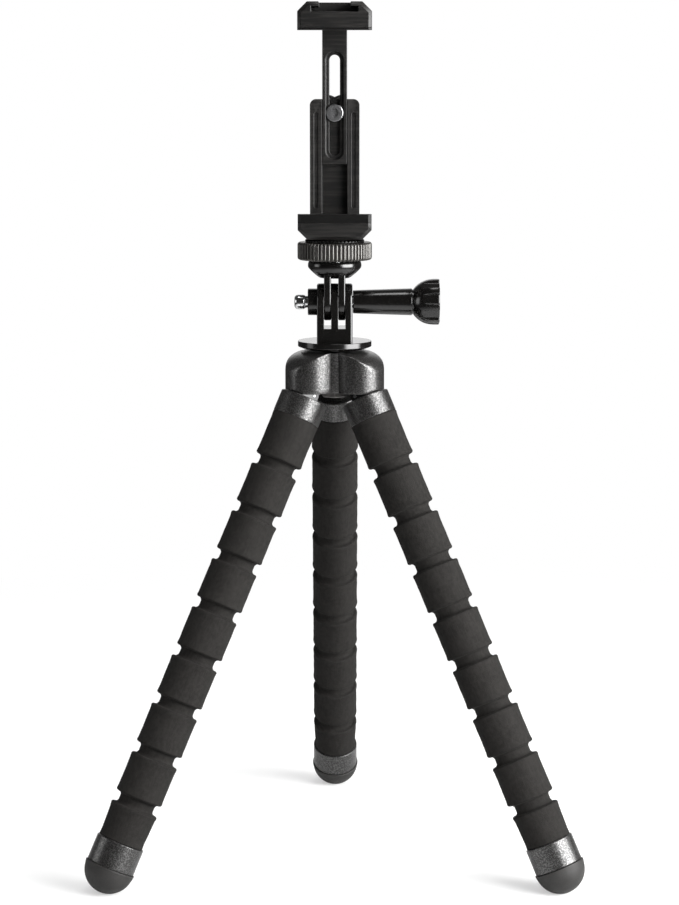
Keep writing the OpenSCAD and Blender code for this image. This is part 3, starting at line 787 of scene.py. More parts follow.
def hub_housing():
    low, high = box_mm("hub_housing")
    floor, top = low[2], high[2] - HUB_SEAT_H
    spring = top - HUB_ROUND_H
    pins = [np.array(JOINTS[f"{side}_leg_fold"]["pos_m"]) / MM for side in SIDES]
    circle_r = float(np.hypot(*pins[0][:2]))
    azimuths = [math.atan2(p[1], p[0]) for p in pins]
    pin_z = pins[0][2]
    up = pins[0] - np.array(JOINTS["left_bend_1"]["pos_m"]) / MM
    splay = math.atan2(np.hypot(*up[:2]), up[2])
    theta = full_turn(HUB_SIDES)
    plan, off = lobed_plan(theta, azimuths, circle_r)
    dome_r = circle_r + LOBE_R - HUB_TOP_R

    def bottom(radius):
        """Height of the hub's underside, flat in the middle and slanted under each lobe."""
        reach = radius * np.cos(off)
        slant = pin_z + (reach - circle_r) * math.tan(splay) - STOP_DROP / math.cos(splay)
        return np.maximum(floor, slant)

    def creased(dome, z):
        """A row where the upright wall meets the dome over it in a soft crease."""
        return loop(theta, soft_min(plan, HUB_TOP_R + dome_r * dome, HUB_CREASE), z)

    share = np.clip((plan - HUB_TOP_R) / dome_r, 0, 1)
    edge = spring + HUB_ROUND_H * np.sqrt(1 - share**2)
    rows = [loop(theta, plan * part, bottom(plan * part)) for part in FLOOR_STEPS]
    rows.append(loop(theta, plan - HUB_EDGE, bottom(plan - HUB_EDGE)))
    rim = bottom(plan)
    rows.append(loop(theta, plan - 0.3 * HUB_EDGE, rim + 0.3 * HUB_EDGE))
    for t in 1 - (1 - np.linspace(0, 1, 26)) ** 2:
        z = rim + HUB_EDGE + t * (edge - rim - HUB_EDGE)
        rise = np.clip((z - spring) / HUB_ROUND_H, 0, 1)
        rows.append(creased(np.sqrt(1 - rise**2), z))
    start = np.arcsin(np.clip((edge - spring) / HUB_ROUND_H, 0, 1))
    for t in np.linspace(0, 1, 34)[1:] ** 1.3:
        turn = start + t * (math.pi / 2 - start)
        rows.append(creased(np.cos(turn), spring + HUB_ROUND_H * np.sin(turn)))
    seat = [
        (HUB_SEAT_R + HUB_SEAT_STEP, top, 0),
        (HUB_SEAT_R, top, HUB_SEAT_EDGE),
        (HUB_SEAT_R, high[2], HUB_SEAT_EDGE),
        (HUB_MOUTH_R, high[2], 0),
    ]
    rows += [loop(theta, r, z) for r, z in rounded(seat, 3)]
    obj = new_object("hub_shell", skin(rows))

    reach = STOP_DROP * math.tan(splay) + SLOT_REACH
    slot = [(-SLOT_IN, -SLOT_DROP), (reach, -SLOT_DROP), (reach, 0)] + eye_arc(SLOT_REACH, SLOT_IN, 21)
    for azimuth, pin_side in zip(azimuths, PIN_SIDES):
        place = Matrix.Rotation(azimuth, 4, "Z") @ Matrix.Translation((circle_r * MM, 0, pin_z * MM))
        cut(obj, prism_shape(slot, -SLOT_HALF, SLOT_HALF), place)
        turn = Matrix.Rotation(math.radians(-90 * pin_side), 4, "X")
        cut(obj, bar_shape(PIN_R, -PIN_HALF, 2 * LOBE_R), place @ turn)
    cut(obj, bar_shape(POCKET_R, floor - SPARE, floor + POCKET_H, 6), CORNER_FORWARD)
    rigid(obj, "spark", "hub", "hub_housing")


def hub_bolt():
    """Hex bolt whose head stands out of its pocket a little, and whose thread goes up into the base."""
    floor = box_mm("hub_housing")[0][2]
    top = box_mm("hub_bolt")[1][2]
    head_low, head_top = floor - HEX_OUT, floor + POCKET_H - HEX_GAP
    inwards, upwards = HEX_BEVEL
    path = [(HEX_R - inwards, head_low), (HEX_R, head_low + upwards), (HEX_R, head_top)]
    head = turned_object("hub_bolt_head", path, 6, CORNER_FORWARD)
    soften_edges(head, HEX_EDGE, 2)
    rigid(head, "blackened", "hub", "hub_bolt")
    thread = []
    for z in np.arange(head_top - THREAD_SUNK, top - THREAD_PITCH, THREAD_PITCH):
        thread += [(THREAD_R - THREAD_DEPTH, z), (THREAD_R, z + THREAD_PITCH / 2)]
    thread.append((THREAD_R - THREAD_END, top))
    rigid(turned_object("hub_bolt_thread", thread, 48), "bolt", "hub")


hub_housing()
hub_bolt()


# Hinged base: a round flange, three prongs in one block, and a boss for the nut

FLANGE_T = 3.1
FLANGE_RIM = 2.2
FLANGE_BEVEL = 2.2
FLANGE_EDGE = 0.3
FLANGE_BORE = 3
PRONG_R = 7.5
PRONG_T = 2.85
PRONG_SLOT = 2.9
PRONG_EDGE = 0.14
PRONG_SUNK = 0.3
BLOCK_EDGE = 0.9
FORK_EDGE = 0.6
SLOT_FLOOR = 10.3
BOSS_R = 5.4
BOSS_LEN = 3.7
BOSS_BORE = 4.62
BOSS_EDGE = 0.45
BOSS_SUNK = 0.2
BOLT_R = 2.5
BOLT_CORE_R = 0.4
BOLT_BORE = BOLT_R + 0.06
BASE_W = 3 * PRONG_T + 2 * PRONG_SLOT
PIVOT_Z = JOINTS["head_tilt"]["pos_m"][2] / MM


def prong_outline(inset, floor_only, low, foot):
    """Section of the block across the hinge: straight sides, a round end, and the inset of its edges."""
    r = PRONG_R - inset
    base = PRONG_R - foot
    slot_z = PIVOT_Z - SLOT_FLOOR
    arc = np.linspace(math.pi, 0, 41)
    if floor_only:
        upper = [(-PRONG_R + 2 * PRONG_R * t, slot_z) for t in np.linspace(0, 1, 47)[1:-1]]
    else:
        sides = np.linspace(slot_z, PIVOT_Z, 4)[1:-1]
        upper = [(-r, z) for z in sides]
        upper += [(r * math.cos(a), PIVOT_Z + r * math.sin(a)) for a in arc]
        upper += [(r, z) for z in sides[::-1]]
    return [(-base, low), (-base, slot_z)] + upper + [(base, slot_z), (base, low)]


def edge_steps(start, end, first, last):
    """Places across a prong and how far its outline is drawn in there, for edges of these two radii."""
    turn = np.linspace(0, math.pi / 2, 7)
    steps = [(start + first * (1 - math.cos(a)), first * (1 - math.sin(a))) for a in turn]
    return steps + [(end - last * (1 - math.cos(a)), last * (1 - math.sin(a))) for a in turn[::-1]]


def prong_block(low):
    """One block whose slots leave three prongs, with rounded edges on each prong."""
    rows = []

    def add(x, inset, floor_only=False, foot=0.0):
        rows.append([(x, y, z) for y, z in prong_outline(inset, floor_only, low, foot)])

    for i in range(3):
        start = -BASE_W / 2 + i * (PRONG_T + PRONG_SLOT)
        end = start + PRONG_T
        middle = (start + end) / 2
        if i:
            add(start, 0, True)
        first = BLOCK_EDGE if i == 0 else PRONG_EDGE
        last = BLOCK_EDGE if i == 2 else PRONG_EDGE
        for x, inset in edge_steps(start, end, first, last):
            outer = (i == 0 and x < middle) or (i == 2 and x > middle)
            add(x, inset, foot=inset if outer else 0.0)
        if i < 2:
            add(end, 0, True)
    obj = new_object("base_prongs", skin(rows))
    cut(obj, bar_shape(BOLT_BORE, -BASE_W, BASE_W), along_x(0, PIVOT_Z))
    return obj


def prong_base():
    low, high = box_mm("prong_base")
    flange_r = high[1]
    bottom = low[2]
    top = bottom + FLANGE_T
    corners = [
        (FLANGE_BORE, bottom, 0),
        (flange_r - FLANGE_BEVEL, bottom, FLANGE_EDGE),
        (flange_r, top - FLANGE_RIM, FLANGE_EDGE),
        (flange_r, top, FLANGE_EDGE),
        (FLANGE_BORE, top, 0),
    ]
    rigid(turned_object("base_flange", rounded(corners, 6), 160), "polished", "base", "prong_base")
    rigid(prong_block(top - PRONG_SUNK), "polished", "base")
    end = BOSS_LEN + BOSS_SUNK
    boss = rounded([(BOSS_BORE, 0, 0), (BOSS_R, 0, BOSS_EDGE), (BOSS_R, end, 0), (BOSS_BORE, end, 0)])
    obj = new_object("nut_boss", skin(turned(boss, 96), wrap=True), along_x(-BASE_W / 2 - BOSS_LEN, PIVOT_Z))
    rigid(obj, "polished", "base")


prong_base()


# Thumbscrew: a chrome bolt, a long sleeve and a bell with lobes

THUMB_SIDES = 480
THUMB_FLUTES = 8
THUMB_FLUTE_HALF = math.radians(12)
THUMB_FLUTE_DEPTH = 1.25
THUMB_FLUTE_WALL = 2.2
THUMB_FLUTE_EDGE = 0.3
THUMB_TURN = math.radians(35.1)
THUMB_SLEEVE = 24.0
THUMB_SLEEVE_R = (4.7, 5.45)
THUMB_BORE = 2.6
THUMB_SLEEVE_EDGE = 0.4
THUMB_BELL = 2.7
THUMB_RIM = 1.2
THUMB_GROOVE = 0.4
BELL_START = THUMB_SLEEVE + 0.6
DISH_RIM = 2.2
DISH_DEPTH = 0.5
DISH_MIDDLE = 5.5
CAP_R = 3.0
CAP_LEN = 4.4
CAP_ROUND = 1.6
CAP_NECK = 0.7


def thumb_grip(length, knob_r):
    """Rows of the sleeve, the groove at its end and the fluted bell, from the hinge outwards."""
    angle = full_turn(THUMB_SIDES)
    pitch = 2 * math.pi / THUMB_FLUTES
    off = np.abs(((angle + THUMB_TURN) % pitch) - pitch / 2)
    wall = THUMB_FLUTE_WALL * knob_r * np.maximum(off - THUMB_FLUTE_HALF, 0)
    flute = (knob_r - THUMB_FLUTE_DEPTH) / np.cos(off) + wall
    full = np.ones(THUMB_SIDES)
    r1, r2 = THUMB_SLEEVE_R
    path = list(rounded([(THUMB_BORE, 0, 0), (r1, 0, THUMB_SLEEVE_EDGE), (r1, 1.0, 0)]))
    path += [(r1 + (r2 - r1) * t, THUMB_SLEEVE * t) for t in np.linspace(0.06, 0.96, 12)]
    waist = r2 - THUMB_GROOVE
    groove = [
        (r2, THUMB_SLEEVE * 0.965, 0),
        (r2, THUMB_SLEEVE - 0.3, 0.3),
        (waist, THUMB_SLEEVE - 0.15, 0.15),
        (waist, THUMB_SLEEVE + 0.45, 0.15),
        (r2 - 0.1, BELL_START, 0),
    ]
    path += list(rounded(groove))
    rows = [loop(angle, r, x) for r, x in path]
    rise = length - BELL_START - THUMB_RIM
    for t in np.linspace(0, 1, 34)[1:]:
        bell = r2 + (knob_r - r2) * (1 - (1 - t) ** THUMB_BELL)
        rows.append(loop(angle, soft_min(full * bell, flute, THUMB_FLUTE_EDGE), BELL_START + rise * t))
    face = soft_min(full * knob_r, flute, THUMB_FLUTE_EDGE)
    dish = length - DISH_DEPTH
    end_path = [
        (0, length - THUMB_RIM + 0.2, 0),
        (0, length, 0.45),
        (DISH_RIM, length, 0.3),
        (DISH_RIM + DISH_DEPTH, dish, 0.3),
        (DISH_MIDDLE, dish, 0),
    ]
    rows += [loop(angle, face * (knob_r - inset) / knob_r, x) for inset, x in rounded(end_path)]
    return rows


def thumbscrew():
    low, high = box_mm("thumbscrew_knob")
    rows = thumb_grip(high[0] - low[0], (high[2] - low[2]) / 2)
    obj = new_object("thumbscrew_grip", skin(rows), along_x(low[0], PIVOT_Z))
    rigid(obj, "polished", "thumbscrew", "thumbscrew_knob")
    low, high = box_mm("thumbscrew_bolt")
    tip = [
        (BOLT_CORE_R, 0, 0),
        (CAP_R, 0, CAP_ROUND),
        (CAP_R, CAP_LEN - CAP_NECK, 0.8),
        (BOLT_R, CAP_LEN, 0.3),
        (BOLT_R, CAP_LEN + 0.4, 0),
    ]
    stem = [(BOLT_R, z) for z in np.linspace(CAP_LEN + 0.6, high[0] - low[0], 12)]
    path = np.vstack([rounded(tip, 8), stem])
    obj = turned_object("thumbscrew_stem", path, 64, along_x(low[0], PIVOT_Z))
    rigid(obj, "chrome", "thumbscrew", "thumbscrew_bolt")


thumbscrew()


# Fork head: a dome with two slanted flats, on two prongs

DOME_SIDES = 256
DOME_H = 6.8
DOME_WAIST = 1.7
DOME_DEPTH = 6.07
DOME_SHOULDER = 6.0
DOME_FLAT_SLOPE = math.radians(48.7)
DOME_FLAT_IN = 0.68
DOME_FLAT_EDGE = 0.25
DOME_MOUTH_R = 4.0
DOME_LIP = 0.1
FORK_T = 2.84
FORK_IN_DOME = 2.7


def fork_dome(dome_r, dome_low, dome_top):
    angle = full_turn(DOME_SIDES)
    side, drop = math.cos(DOME_FLAT_SLOPE), math.sin(DOME_FLAT_SLOPE)
    reach = math.hypot(dome_r * side, DOME_DEPTH * drop) - DOME_FLAT_IN
    rows = []
    for z in np.linspace(dome_low, dome_top - DOME_LIP, 56):
        down = dome_top - DOME_WAIST - z
        round_r = dome_r * math.sqrt(1 - (down / (DOME_DEPTH if down > 0 else DOME_SHOULDER)) ** 2)
        flat_r = (reach - down * drop) / (side * np.maximum(np.abs(np.cos(angle)), 0.05))
        rows.append(loop(angle, soft_min(np.full(DOME_SIDES, round_r), flat_r, DOME_FLAT_EDGE), z))
    rows.append(loop(angle, DOME_MOUTH_R, dome_top))
    rigid(new_object("fork_dome", skin(rows)), "polished", "head", "fork_head")


def fork_prong(name, x, neck):
    """A prong with a round end and straight sides up to its neck in the dome, round the bolt's hole."""
    angle = full_turn(96)
    half = FORK_T / 2

    def outline(inset):
        points = []
        for a in angle:
            c, s = math.cos(a), math.sin(a)
            r = PRONG_R - inset
            if s > 0:
                r = min(r / max(abs(c), 1e-6), neck / s)
            points.append((r * c, r * s))
        return points

    sections = [(depth, outline(inset)) for depth, inset in edge_steps(-half, half, FORK_EDGE, FORK_EDGE)]
    hole = [(BOLT_BORE * math.cos(a), BOLT_BORE * math.sin(a)) for a in angle]
    sections += [(half, hole), (-half, hole)]
    rows = [[(x + depth, y, PIVOT_Z + z) for y, z in section] for depth, section in sections]
    rigid(new_object(name, skin(rows, wrap=True)), "polished", "head")


def fork_head():
    high = box_mm("fork_head")[1]
    dome_low = high[2] - DOME_H
    fork_dome(high[0], dome_low, high[2])
    x_mid = (PRONG_T + PRONG_SLOT) / 2
    for i, x in enumerate((-x_mid, x_mid)):
        fork_prong(f"fork_prong_{i + 1}", x, dome_low + FORK_IN_DOME - PIVOT_Z)


fork_head()


# Lock ring with its ribs, and the toothed pad on it

RING_RIBS = 58
RIB_STEPS = 18
RIB_DEPTH = 0.62
RIB_SHARE = 0.82
RING_EDGE = 1.0
RING_FACE = 3.4
RING_BORE = 3.2
RIB_FADE = (2.4, 1.2)
PAD_TEETH = 46
PAD_TOOTH = 0.5
PAD_RIM = 1.0
PAD_BORE = 3.7
PAD_STEP = (1.4, 1.9)
PAD_FOOT_BEVEL = (0.3, 0.25)
PAD_RIM_BEVEL = (0.25, 0.15)


def lock_ring():
    low, high = box_mm("lock_ring")
    radius = high[0]
    height = high[2] - low[2]
    angle = full_turn(RING_RIBS * RIB_STEPS)
    across = np.abs((angle * RING_RIBS / math.pi + 1) % 2 - 1)
    groove = RIB_DEPTH * (1 - np.sqrt(1 - np.clip(across / RIB_SHARE, 0, 1) ** 2))
    inner = radius - RING_FACE
    corners = [(inner, 0, 0), (radius, 0, RING_EDGE), (radius, height, RING_EDGE), (inner, height, 0)]
    rows = []
    for r, z in with_wall(rounded(corners, 7), radius, 6):
        fade = np.clip((r - (radius - RIB_FADE[0])) / RIB_FADE[1], 0, 1)
        rows.append(loop(angle, r - fade * groove, z))
    rows += [loop(angle, RING_BORE, z) for z in (height, 0)]
    rigid(new_object("lock_nut", skin(rows, wrap=True), raised(low[2])), "ring", "ring", "lock_ring")


def ring_pad():
    low, high = box_mm("ring_pad")
    radius = high[0]
    height = high[2] - low[2]
    angle = full_turn(PAD_TEETH * 8)
    tooth = PAD_TOOTH * np.clip(0.5 + 1.2 * np.cos(angle * PAD_TEETH), 0, 1)
    section = [
        (PAD_BORE, 0),
        (radius - PAD_FOOT_BEVEL[0], 0),
        (radius, PAD_FOOT_BEVEL[1]),
        (radius, PAD_RIM - PAD_RIM_BEVEL[1] - tooth),
        (radius - PAD_RIM_BEVEL[0], PAD_RIM - tooth),
        (radius - PAD_STEP[0], PAD_RIM - 0.5 * tooth),
        (radius - PAD_STEP[1], height),
        (PAD_BORE, height),
    ]
    rows = [loop(angle, r, z) for r, z in section]
    rigid(new_object("ring_washer", skin(rows, wrap=True), raised(low[2])), "pad", "ring", "ring_pad")


lock_ring()
ring_pad()


# Clamp: two jaws with rubber liners, the spine, the stem and the knob behind

JAW_BEVEL = 1.3
JAW_BEVEL_DEPTH = 1.0
GRIP_BEVEL = 0.4
JAW_CORNER = 3.8
JAW_EDGE = 0.3
LINER_EDGE = 0.22
LINER_SUNK = 0.25
LIP_T = 2.4
LIP_LINER = 0.8
LIP_REACH = 1.8
PAD_T = 1.8
UPPER_EDGE = 1.0
GRIP_RIBS = 5
GRIP_RIB_OUT = 0.3
GRIP_RIB_HALF = (0.55, 0.25)
GRIP_RIB_INSET = 1.6
GRIP_RIB_ENDS = (1.4, 1.2)
SPINE_T = 5.5
SPINE_HALF = 10.0
SPINE_CORNER = 2.4
SPINE_ROOT = 2
FLUTE_HALF = 0.8
FLUTE_DEPTH = 0.4
FLUTE_END = 6.0
CLAMP_BOLT_R = 2.0
CLAMP_BORE = 2.02
BUSH_R = 4.72
BUSH_H = 5.6
BOLT_HEAD_T = 1.2
BOLT_HEAD_GAP = 0.05
BOLT_HEAD_EDGE = 0.35
BOLT_TIP = 0.4
SOCKET_R = 1.75
SOCKET_DEPTH = 0.9
STEM_HALF = 5.0
STEM_T = 2.8
STEM_GAP = 0.15
STEM_SLOT_HALF = 2.1
STEM_SEAT_HALF = 3.6
SHOE_HALF = 9.3
SHOE_H = 2.2
SHOE_GAP = 6.3
SHOE_RAIL = 1.8
SHOE_STOP = 2.0
KNOB_LOBES = 6
KNOB_LOBE_SHARE = 0.72
KNOB_BLEND = 0.8
KNOB_SIDES = 240
KNOB_BORE = 3.5
KNOB_DISH = 0.7
KNOB_DISH_RADII = (4.6, 4.2, 1.5)
KNOB_DISH_EDGES = (0.4, 0.3)
KNOB_EDGES = (0.7, 1.2)
CLAMP_BOLT_Z = JOINTS["clamp_knob_turn"]["pos_m"][2] / MM
lower_low, lower_high = box_mm("lower_jaw")
JAW_HALF = lower_high[0]
JAW_FRONT = lower_low[1]
SPINE_BACK = lower_high[1]
SPINE_FRONT = SPINE_BACK - SPINE_T
LIP_BACK = JAW_FRONT + LIP_T
BEFORE_JAW = JAW_FRONT - SPARE


def inset(outline, depth):
    """A convex outline, counted leftwards, moved inwards by a depth."""
    points = [np.array(point, float) for point in outline]
    sides = []
    for here, after in zip(points, points[1:] + points[:1]):
        along = (after - here) / np.linalg.norm(after - here)
        sides.append((here + depth * np.array((-along[1], along[0])), along))
    moved = []
    for (p, u), (q, v) in zip(sides[-1:] + sides[:-1], sides):
        gap = q - p
        share = (gap[0] * v[1] - gap[1] * v[0]) / (u[0] * v[1] - u[1] * v[0])
        moved.append(p + u * share)
    return moved


def jaw_front(low, high, at_top):
    """Outline of a jaw from the front, with two corners cut off at its top or its bottom.

    It goes on past the gripping edge, so that only a narrow bevel is left there."""
    half = JAW_HALF
    end = half - JAW_CORNER
    past = JAW_BEVEL - GRIP_BEVEL
    if at_top:
        grip, side = low - past, high - JAW_CORNER
        return [(-half, grip), (half, grip), (half, side), (end, high), (-end, high), (-half, side)]
    grip, side = high + past, low + JAW_CORNER
    return [(-end, low), (end, low), (half, side), (half, grip), (-half, grip), (-half, side)]


def jaw_block(name, outline):
    """A jaw's outline drawn out to the back, with a bevel round its front face."""
    rows = []
    for y, depth in ((JAW_FRONT, JAW_BEVEL), (JAW_FRONT + JAW_BEVEL_DEPTH, 0), (SPINE_BACK, 0)):
        rows.append([(x, y, z) for x, z in inset(outline, depth)])
    return new_object(name, skin(rows))


def keep_slabs(obj, *slabs):
    """Keeps the part of a jaw inside slabs given as (low, high, front, back)."""
    half = JAW_HALF + SPARE
    shapes = [box_shape((-half, front, low), (half, back, high)) for low, high, front, back in slabs]
    tool = new_object("slab", shapes[0])
    for shape in shapes[1:]:
        join(tool, shape)
    combine(obj, tool, "INTERSECT")


def upright_slot(half, low, high, x=0):
    """Outline of a slot with round ends, centred on x."""
    ends = [(high, a) for a in np.linspace(0, math.pi, 17)]
    ends += [(low, a) for a in np.linspace(math.pi, 2 * math.pi, 17)]
    return [(x + half * math.cos(a), z + half * math.sin(a)) for z, a in ends]


def lower_jaw():
    pad_low, pad_high = box_mm("lower_pad")
    jaw_top = pad_low[2]
    low, high = lower_low[2], lower_high[2]
    obj = jaw_block("lower_jaw_body", jaw_front(low, pad_high[2], False))
    keep_slabs(obj, (low - SPARE, jaw_top, BEFORE_JAW, SPINE_BACK + SPARE))
    root = jaw_top - SPINE_ROOT
    corners = [
        (-SPINE_HALF, root, 0),
        (SPINE_HALF, root, 0),
        (SPINE_HALF, high, SPINE_CORNER),
        (-SPINE_HALF, high, SPINE_CORNER),
    ]
    join(obj, prism_shape(rounded(corners, 6, True), SPINE_FRONT, SPINE_BACK))
    half = STEM_HALF + STEM_GAP
    channel_back = SPINE_FRONT + STEM_T + 2 * STEM_GAP
    cut(obj, box_shape((-half, SPINE_FRONT - SPARE, jaw_top + PAD_T), (half, channel_back, high + SPARE)))
    rail = (SPINE_HALF + half) / 2
    for x in (-rail, rail):
        flute = upright_slot(FLUTE_HALF, jaw_top + FLUTE_END, high - FLUTE_END, x)
        for y in (SPINE_FRONT - SPARE, SPINE_BACK - FLUTE_DEPTH):
            cut(obj, prism_shape(flute, y, y + SPARE + FLUTE_DEPTH))
    cut(obj, bar_shape(CLAMP_BORE, SPINE_FRONT, SPINE_BACK + SPARE), along_y(0, CLAMP_BOLT_Z))
    cut(obj, bar_shape(BUSH_R, low - SPARE, low + BUSH_H))
    soften_edges(obj, JAW_EDGE)
    rigid(obj, "satin", "clamp", "lower_jaw")


def grip_ribs(obj, height, out):
    """Low ribs across the gripping face of a liner, standing up from it or hanging down."""
    half = JAW_HALF - GRIP_RIB_INSET
    foot, crest = GRIP_RIB_HALF
    crown = height + out
    for y in np.linspace(LIP_BACK + GRIP_RIB_ENDS[0], SPINE_FRONT - GRIP_RIB_ENDS[1], GRIP_RIBS):
        outline = [(y - foot, height), (y - crest, crown), (y + crest, crown), (y + foot, height)]
        join(obj, skin([[(x, py, pz) for py, pz in outline] for x in (-half, half)]))


def finish_liner(obj, body, node):
    soften_edges(obj, LINER_EDGE, 2)
    rigid(obj, "pad", body, node)


def lower_pad():
    low, high = box_mm("lower_pad")
    grip = high[2] - LIP_REACH
    obj = jaw_block("lower_jaw_liner", jaw_front(lower_low[2], high[2], False))
    keep_slabs(
        obj,
        (low[2], grip - LINER_SUNK, BEFORE_JAW, SPINE_FRONT),
        (low[2], high[2], BEFORE_JAW, LIP_BACK),
    )
    grip_ribs(obj, grip - GRIP_RIB_OUT, GRIP_RIB_OUT)
    finish_liner(obj, "clamp", "lower_pad")


def upper_jaw():
    low, high = box_mm("upper_jaw")
    pad_low, pad_high = box_mm("upper_pad")
    bottom, top = pad_high[2], high[2]
    obj = jaw_block("upper_jaw_body", jaw_front(pad_low[2], top, True))
    keep_slabs(
        obj,
        (bottom, top + SPARE, BEFORE_JAW, SPINE_BACK + SPARE),
        (pad_low[2] + UPPER_EDGE, top + SPARE, BEFORE_JAW, LIP_BACK - LIP_LINER),
    )
    rails = top - SHOE_RAIL
    back = SPINE_BACK - SHOE_STOP
    cut(obj, box_shape((-SHOE_HALF, BEFORE_JAW, rails - SHOE_H), (SHOE_HALF, back, rails)))
    cut(obj, box_shape((-SHOE_GAP, BEFORE_JAW, rails - SPARE), (SHOE_GAP, back, top + SPARE)))
    soften_edges(obj, JAW_EDGE)
    rigid(obj, "satin", "slider", "upper_jaw")

    front = SPINE_FRONT + STEM_GAP
    shape = box_shape((-STEM_HALF, front, low[2]), (STEM_HALF, front + STEM_T, bottom + SPARE))
    stem = new_object("upper_jaw_stem", shape)
    travel = JOINTS["jaw_slide"]["range_m"]
    slot_low = CLAMP_BOLT_Z - travel[1] / MM - SPARE
    slot_high = CLAMP_BOLT_Z - travel[0] / MM + SPARE
    head_back = box_mm("clamp_bolt")[0][1] + BOLT_HEAD_T + BOLT_HEAD_GAP
    for half, depth in ((STEM_SLOT_HALF, SPINE_BACK), (STEM_SEAT_HALF, head_back)):
        cut(stem, prism_shape(upright_slot(half, slot_low, slot_high), SPINE_FRONT - SPARE, depth))
    soften_edges(stem, JAW_EDGE)
    rigid(stem, "satin", "slider")


def upper_pad():
    low, high = box_mm("upper_pad")
    grip = low[2] + LIP_REACH
    behind = LIP_BACK - LIP_LINER
    obj = jaw_block("upper_jaw_liner", jaw_front(low[2], box_mm("upper_jaw")[1][2], True))
    keep_slabs(
        obj,
        (grip + LINER_SUNK, high[2], behind, SPINE_FRONT),
        (low[2], high[2], behind, LIP_BACK),
        (low[2], low[2] + UPPER_EDGE, BEFORE_JAW, LIP_BACK),
    )
    grip_ribs(obj, grip + GRIP_RIB_OUT, -GRIP_RIB_OUT)
    finish_liner(obj, "slider", "upper_pad")


def clamp_bolt():
    """Flat-headed bolt with a hex socket, through the stem and the spine."""
    low, high = box_mm("clamp_bolt")
    head_r = high[0]
    length = high[1] - low[1]
    r = CLAMP_BOLT_R
    back = BOLT_HEAD_T
    head = rounded([(BOLT_CORE_R, 0, 0), (head_r, 0, BOLT_HEAD_EDGE), (head_r, back, 0), (r, back, 0)])
    shank = [(r, back + 0.1), (r, length - BOLT_TIP), (r - BOLT_TIP, length)]
    place = along_y(low[1], CLAMP_BOLT_Z)
    obj = turned_object("clamp_screw", np.vstack([head, shank]), 48, place)
    cut(obj, bar_shape(SOCKET_R, -SPARE, SOCKET_DEPTH, 6), place)
    rigid(obj, "bolt", "clamp", "clamp_bolt")


def clamp_knob():
    low, high = box_mm("clamp_knob")
    radius = (high[2] - low[2]) / 2
    length = high[1] - low[1]
    angle = full_turn(KNOB_SIDES)
    pitch = 2 * math.pi / KNOB_LOBES
    lobe = KNOB_LOBE_SHARE * radius * math.sin(math.pi / KNOB_LOBES)
    off = np.abs((angle + pitch / 2) % pitch - pitch / 2)
    centre = radius - lobe
    inside = lobe**2 - (centre * np.sin(off)) ** 2
    reach = np.where(inside > 0, centre * np.cos(off) + np.sqrt(np.maximum(inside, 0)), 0)
    outline = soft_max(reach, np.full(KNOB_SIDES, radius - lobe / 2), KNOB_BLEND)
    dish = length - KNOB_DISH
    rim, bottom, middle = KNOB_DISH_RADII
    corners = [
        (KNOB_BORE, 0, 0),
        (radius, 0, KNOB_EDGES[0]),
        (radius, length, KNOB_EDGES[1]),
        (rim, length, KNOB_DISH_EDGES[0]),
        (bottom, dish, KNOB_DISH_EDGES[1]),
        (middle, dish, 0),
    ]
    rows = [loop(angle, outline * r / radius, y) for r, y in rounded(corners, 6)]
    obj = new_object("clamp_grip", skin(rows), along_y(low[1], CLAMP_BOLT_Z))
    rigid(obj, "spark", "knob", "clamp_knob")


lower_jaw()
lower_pad()
upper_jaw()
upper_pad()
clamp_bolt()
clamp_knob()


# Nodes that keep their shape

KEPT = {
    "hinge_pins": "steel",
    "base_insert": "brass",
    "hinge_nut": "steel",
    "head_stud": "steel",
    "thread_insert": "brass",
    "clamp_washer": "steel",
}
for kept_node, kept_finish in KEPT.items():
    kept = frame["nodes"][kept_node]
    kept.data.materials.clear()
    kept.data.materials.append(FINISHES[kept_finish][0])


# Stage, light and camera: sizes in metres, but for the corners of the floor

FLOOR_TONE = (0.6, 0.6, 0.6, 1)
FLOOR_LIFT = 0.4
FLOOR_MIRRORED = 0.06
FLOOR_NEAR = 0.25
FLOOR_FAR = 0.6
FLOOR_LOW = (-6000, -6000, -5)
FLOOR_HIGH = (6000, 6000, -0.05)
LIGHT_FADE = 0.28
AMBIENT = 0.62
MIRRORED_FRONT = 0.03
MIRRORED_BACK = 0.09
ROOM_TURN = (-0.35, 0.45)
HORIZON_BEHIND = 0.2
HORIZON_EDGE = (0.06, 0.1)
HORIZON_FADE = (0.2, 0.85)
HORIZON_SIDE = (0.15, 0.45)
HORIZON_LEVEL = 1.6
CAMERA_SPOT = (1.94 * MM, -1008.6 * MM, 322.87 * MM)
CAMERA_PITCH = math.radians(8.678)
CAMERA_LENS = 99.42
CAMERA_SENSOR = 36


